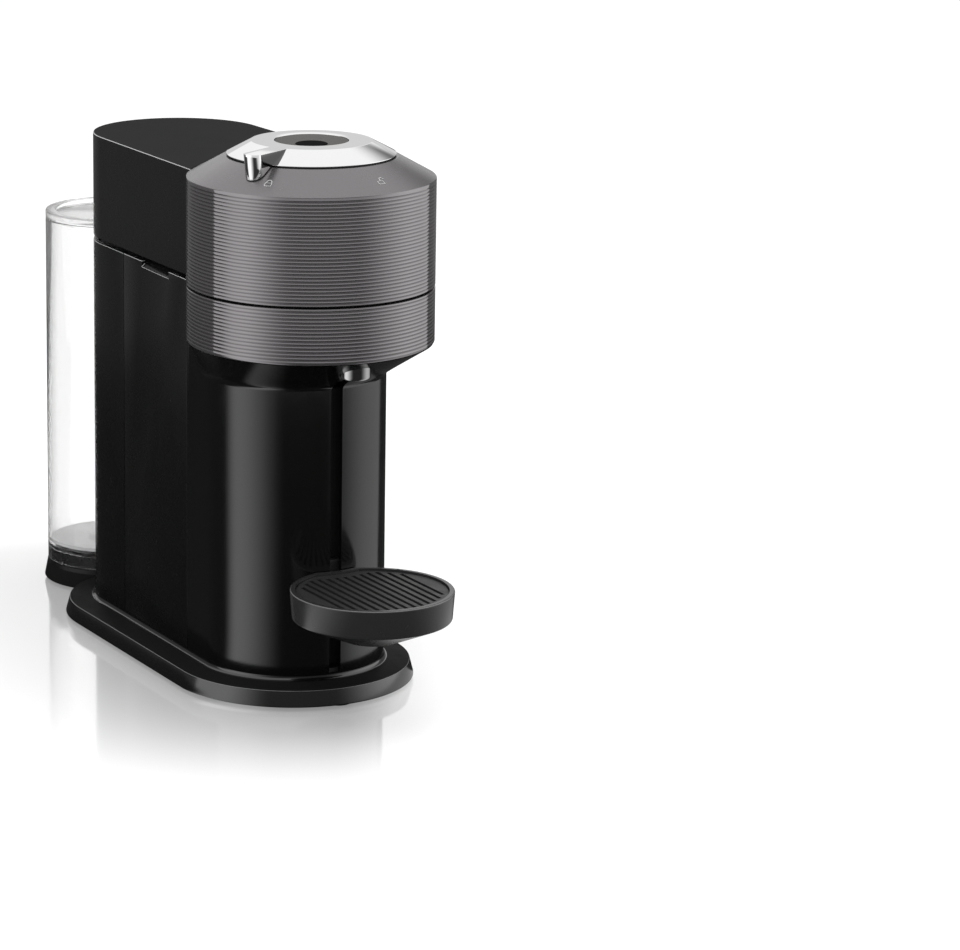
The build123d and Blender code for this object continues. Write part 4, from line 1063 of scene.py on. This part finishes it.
def set_out_parts(name, node, part):
    """One piece with the part on each of the node's places."""
    mesh = bpy.data.meshes.new(name)
    mesh.from_pydata(islands(node), [], [])
    piece = shaped(new_object(name, mesh), set_out, part=part, material=finishes[slot_of[node]])
    bpy.data.objects.remove(part)
    return dress(piece, node)


pad_low, pad_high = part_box("rubber_feet")
pad_radius = 8.0 * MM
pad_height = pad_high.z - pad_low.z
pad_core = 0.35 * pad_radius
pad_ring = 0.55 * pad_radius
pad_border = 0.7 * pad_radius
groove = 0.5 * MM
set_out_parts("foot_pads", "rubber_feet", turned("tool", 0.0, [
    (0, groove), (pad_core, groove), (pad_core, 0), (pad_ring, 0), (pad_ring, groove),
    (pad_border, groove), (pad_border, 0), (pad_radius - groove, 0), (pad_radius, groove),
    (pad_radius, pad_height), (0, pad_height)]))

screw_low, screw_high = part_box("cover_screws")
screw_length = screw_high.z - screw_low.z
screw_head = 3.0 * MM
screw_head_round = 0.3 * MM
screw_head_height = 1.2 * MM
screw_core = 1.5 * MM
cross_half = 1.8 * MM
recess = 0.8 * MM
cross_line = recess / 3
screw = turned("tool", 0.0, [
    (0, 0), (screw_head, 0, screw_head_round), (screw_head, screw_head_height),
    (screw_core, screw_head_height), (screw_core, screw_length), (0, screw_length)])
screw = boolean(screw, "DIFFERENCE", *[
    box_tool((-width, -depth, -recess), (width, depth, recess))
    for width, depth in ((cross_half, cross_line), (cross_line, cross_half))])
set_out_parts("foot_screws", "cover_screws", screw)

# Marks for locked and unlocked, thin raised lines on the shoulder
locked_angle = math.radians(219.3)
unlocked_angle = math.radians(280.3)
mark_radius = 60.4 * MM
mark_line = 0.46 * MM
mark_lift = 0.08 * MM
mark_half = 3.7 * MM / 2
mark_body_top = 0.4 * mark_half
shackle_reach = 0.8 * mark_half
shackle_rise = 0.9 * mark_half
shackle_open_rise = 0.1 * mark_half
shackle_steps = 8


def shoulder_spot(angle, across, along):
    """A point on the shoulder: across runs round the ring and along runs up the slope."""
    radius = mark_radius - along / math.hypot(1, shoulder_slope)
    height = head_high.z - (radius - shoulder_top_radius) * shoulder_slope
    turn = angle + across / mark_radius
    return Vector((radius * math.cos(turn), head_y + radius * math.sin(turn), height + mark_lift))


def padlock(name, angle, open_share):
    """A padlock drawn in one thin line: a body and a shackle that is shut or swung open."""
    body = [(-mark_half, -mark_half), (mark_half, -mark_half), (mark_half, mark_body_top),
            (-mark_half, mark_body_top), (-mark_half, -mark_half)]
    shift = open_share * mark_half
    bow = shackle_rise + open_share * shackle_open_rise
    shackle = [(-shackle_reach + shift, mark_body_top),
               *arc(shift, bow, shackle_reach, math.pi, -math.pi, shackle_steps)]
    if not open_share:
        shackle.append((shackle_reach, mark_body_top))
    curve = bpy.data.curves.new(name, "CURVE")
    curve.dimensions = "3D"
    curve.bevel_depth = mark_line / 2
    curve.bevel_resolution = 1
    for path in (body, shackle):
        spline = curve.splines.new("POLY")
        spline.points.add(len(path) - 1)
        for point, (across, along) in zip(spline.points, path):
            point.co = (*shoulder_spot(angle, across, along), 1)
    drawn = new_object(name, curve)
    mesh = evaluated_mesh(drawn)
    bpy.data.objects.remove(drawn)
    piece = new_object(name, mesh)
    piece.data.materials.append(mark_finish)
    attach(piece, "hood")
    return smooth(piece)


padlock("mark_locked", locked_angle, 0.0)
padlock("mark_unlocked", unlocked_angle, 1.0)

# Every other node keeps its shape and gets smooth shading and its finish
shown = {node for piece in bpy.data.objects for node in piece.get("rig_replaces", [])}
for node in sorted(set(slot_of) - shown):
    dress(merged_copy(node), node)

# Studio: bearings are degrees round from the camera, as a start and a width or as two ends
camera_azimuth = math.radians(-27.278)
camera_way = (math.sin(camera_azimuth), -math.cos(camera_azimuth))
camera_right = (math.cos(camera_azimuth), math.sin(camera_azimuth))
left_panel = (-95.0, 35.0)
right_panel = (40.0, 60.0)
right_edge = (100.0, 45.0)
right_end = (135.5, 1.5)
behind_right = (158, 168)
behind_left = (141, 150)
bend_rounds = 2
studio_levels = {"Bend": 0.0, "Left Start": -101.3, "Left Width": 1.5, "Front Start": -66.0,
                 "Front Width": 46.0, "Dim": 0.17, "Left Edge": 1.36, "Left": 1.5, "Front": 0.68,
                 "Right": 1.6, "Right Edge": 1.0, "Back": 0.17}
low_sides = {"Left Start": -93.0, "Left Width": 22.0, "Front Start": -69.0, "Front Width": 60.0, "Dim": 0.035,
             "Left Edge": 1.35, "Left": 1.35, "Front": 0.03, "Right": 0.8, "Right Edge": 0.5, "Back": 0.05}
high_sides = {"Dim": 0.17}
world_front = 0.15
world_back = (0.66, 0.95)
world_back_rise = (0.20, 0.25)
ceiling_level = 0.98
ceiling_rise = (0.35, 0.75)
fill_level = 0.70

# Floor: brightness to the camera, and where it mirrors the machine
floor_half = 6.0
floor_tones = (grey(0.46), grey(0.48))
floor_glow = 0.58
floor_far_glow = 0.68
floor_far = 3.0
floor_fade = 0.27
floor_polish = 0.58
floor_roughness = 0.08
mirror_right = (0.06, 0.13)
mirror_back = (-0.30, -0.20)
table_change = (0.82, 0.95)


def measured(graph, place, way):
    """How far a point lies along a level direction."""
    across, along = (graph.sum("MULTIPLY", place[axis], share) for axis, share in zip("XY", way))
    return graph.sum("ADD", across, along)


def seen_white(graph, path):
    """1 for what the camera sees, straight or through clear plastic."""
    return graph.sum("MAXIMUM", path["Is Camera Ray"], path["Is Transmission Ray"])


def studio_sides_group():
    """How bright the studio is round the object: a soft panel on either side and dim gaps."""
    graph, given, made = new_group(
        "studio_sides", "ShaderNodeTree", {"Vector": "Vector", **studio_levels}, {"Brightness": "Float"})
    sums = graph.sum
    place = graph.split(given["Vector"])
    ahead = measured(graph, place, camera_way)
    bearing = sums("DEGREES", sums("ARCTAN2", measured(graph, place, camera_right), ahead))
    # A floor point's bearing becomes the direction in which a round wall mirrors it
    angle = bearing
    for _ in range(bend_rounds):
        half = sums("RADIANS", sums("MULTIPLY", angle, 0.5))
        angle = sums("ADD", bearing, sums("MULTIPLY", sums("SINE", half), given["Bend"]))
    level = given["Dim"]
    for name, start, width in (
            ("Left Edge", given["Left Start"], given["Left Width"]), ("Left", *left_panel),
            ("Front", given["Front Start"], given["Front Width"]), ("Right", *right_panel),
            ("Right Edge", *right_edge), ("Dim", *right_end)):
        share = sums("DIVIDE", sums("SUBTRACT", angle, start), width)
        level = graph.mix(level, given[name], graph.ease(share, 0, 1))
    behind = sums("MAXIMUM", graph.ease(bearing, *behind_right),
                  graph.ease(sums("MULTIPLY", bearing, -1.0), *behind_left))
    graph.join(made, Brightness=graph.mix(level, given["Back"], behind))
    return graph.tree


studio_sides = studio_sides_group()


def plan_reach(graph, place):
    """How far a point lies from the line between the column's axis and the tank's."""
    sums = graph.sum
    along = graph.add("Clamp", Value=place["Y"], Min=column_y, Max=tank_y)
    offset = sums("SUBTRACT", place["Y"], along)
    squares = sums("ADD", sums("MULTIPLY", offset, offset), sums("MULTIPLY", place["X"], place["X"]))
    return sums("SQRT", squares)


def lit_floor(graph, spot, seen, reach):
    """Matt floor that keeps the shadow and glows to the camera, a little more far away."""
    tone = graph.add("TexNoise", Vector=spot, Scale=1.5, Detail=1.0)
    matt = graph.add("BsdfDiffuse", Color=graph.mix(*floor_tones, tone, "RGBA"))
    white = graph.mix(floor_glow, floor_far_glow, graph.ease(reach, floor_fade, floor_far))
    glow = graph.add("Emission", Strength=graph.sum("MULTIPLY", seen, white))
    return graph.add("AddShader", matt, glow)


def mirror_share(graph, place, reach):
    """How much the floor mirrors: most by the foot, less to the right and not far behind."""
    near = graph.mix(floor_polish, 0.0, graph.ease(reach, drum_radius, floor_fade))
    inside = graph.mix(1.0, 0.0, graph.ease(measured(graph, place, camera_right), *mirror_right))
    ahead = graph.ease(measured(graph, place, camera_way), *mirror_back)
    return graph.sum("MULTIPLY", graph.sum("MULTIPLY", near, inside), ahead)


def table_brightness(graph, spot, reach):
    """The dim table that reflections see, as it looks from the column and further out from the head."""
    seen_from = []
    for axis_y, radius, levels in ((column_y, column_radius, low_sides), (head_y, head_radius, high_sides)):
        away = graph.vector("SUBTRACT", spot, (0.0, axis_y, 0.0))
        distance = graph.vector("LENGTH", away)
        bend = graph.sum("DIVIDE", math.degrees(radius), distance)
        seen_from.append(graph.group(studio_sides, Vector=away, Bend=bend, **levels))
    return graph.mix(*seen_from, graph.ease(reach, *table_change))


def pale_floor():
    """White floor that keeps the shadow, mirrors the foot close by and is a dim table to reflections."""
    material = bpy.data.materials.new("pale_floor")
    material.use_nodes = True
    graph = Graph(material.node_tree)
    graph.tree.nodes.remove(graph.tree.nodes["Principled BSDF"])
    path = graph.add("LightPath").outputs
    spot = graph.add("TexCoord").outputs["Object"]
    place = graph.split(spot)
    reach = plan_reach(graph, place)
    matt = lit_floor(graph, spot, seen_white(graph, path), reach)
    mirror = graph.add("BsdfGlossy", Roughness=floor_roughness)
    surface = graph.add("MixShader", mirror_share(graph, place, reach), matt, mirror)
    table = graph.add("Emission", Strength=table_brightness(graph, spot, reach))
    mirrored = graph.sum("SUBTRACT", path["Is Glossy Ray"], path["Is Transmission Ray"])
    whole = graph.add("MixShader", mirrored, surface, table)
    graph.join(graph.tree.nodes["Material Output"], Surface=whole)
    return material


floor_mesh = bpy.data.meshes.new("floor")
floor_mesh.from_pydata([(across * floor_half, along * floor_half, 0)
                        for across, along in ((-1, -1), (1, -1), (1, 1), (-1, 1))], [], [(0, 1, 2, 3)])
floor_mesh.materials.append(pale_floor())
floor = new_object("floor", floor_mesh)


def studio_world():
    """White to the camera and through clear plastic, panels and a bright ceiling to reflections."""
    world = bpy.data.worlds.new("studio")
    bpy.context.scene.world = world
    world.use_nodes = True
    graph = Graph(world.node_tree)
    path = graph.add("LightPath").outputs
    way = graph.add("TexCoord").outputs["Generated"]
    height = graph.split(way)["Z"]
    back = graph.mix(*world_back, graph.ease(height, *world_back_rise))
    sides = graph.group(studio_sides, Vector=way, Back=back, Front=world_front)
    around = graph.mix(sides, ceiling_level, graph.ease(height, *ceiling_rise))
    fill = graph.mix(fill_level, around, path["Is Glossy Ray"])
    white = graph.mix(fill, 1.0, seen_white(graph, path))
    graph.join(graph.tree.nodes["Background"], Color=grey(1.0), Strength=white)


studio_world()

# Large soft lamps that aren't seen in reflections as hard shapes: place, size and power
lamp_aim = Vector((0.0, 0.0, 0.15))
softboxes = {
    "top_softbox": ((0.0, -0.1, 1.9), (2.2, 2.2), 26.0),
    "left_softbox": ((-1.9, -0.6, 0.9), (1.2, 1.6), 14.0),
    "right_softbox": ((1.7, -1.0, 0.9), (1.2, 1.6), 14.0),
}
for name, (place, size, power) in softboxes.items():
    light = bpy.data.lights.new(name, "AREA")
    light.shape = "RECTANGLE"
    light.size, light.size_y = size
    light.energy = power
    lamp = new_object(name, light)
    lamp.location = place
    lamp.rotation_euler = (lamp_aim - Vector(place)).to_track_quat("-Z", "Y").to_euler()
    lamp.visible_glossy = False

# Camera, fitted to the photograph's round edges
camera_place = Vector((-1.04451, -2.04251, 0.68077))
camera_elevation = math.radians(13.218)
camera_roll = math.radians(0.18)
camera_data = bpy.data.cameras.new("camera")
camera_data.lens = 152.2157
camera_data.sensor_width = 36
camera_data.shift_x = 0.2396
camera_data.shift_y = -0.0677
camera = new_object("camera", camera_data)
bpy.context.scene.camera = camera
back = Vector((camera_way[0] * math.cos(camera_elevation), camera_way[1] * math.cos(camera_elevation),
               math.sin(camera_elevation)))
right = Vector((*camera_right, 0))
up = back.cross(right)
rolled_right = right * math.cos(camera_roll) + up * math.sin(camera_roll)
rolled_up = up * math.cos(camera_roll) - right * math.sin(camera_roll)
turned_axes = Matrix((rolled_right, rolled_up, back)).transposed().to_4x4()
camera.matrix_world = Matrix.Translation(camera_place) @ turned_axes

bpy.context.scene.view_settings.view_transform = "Standard"
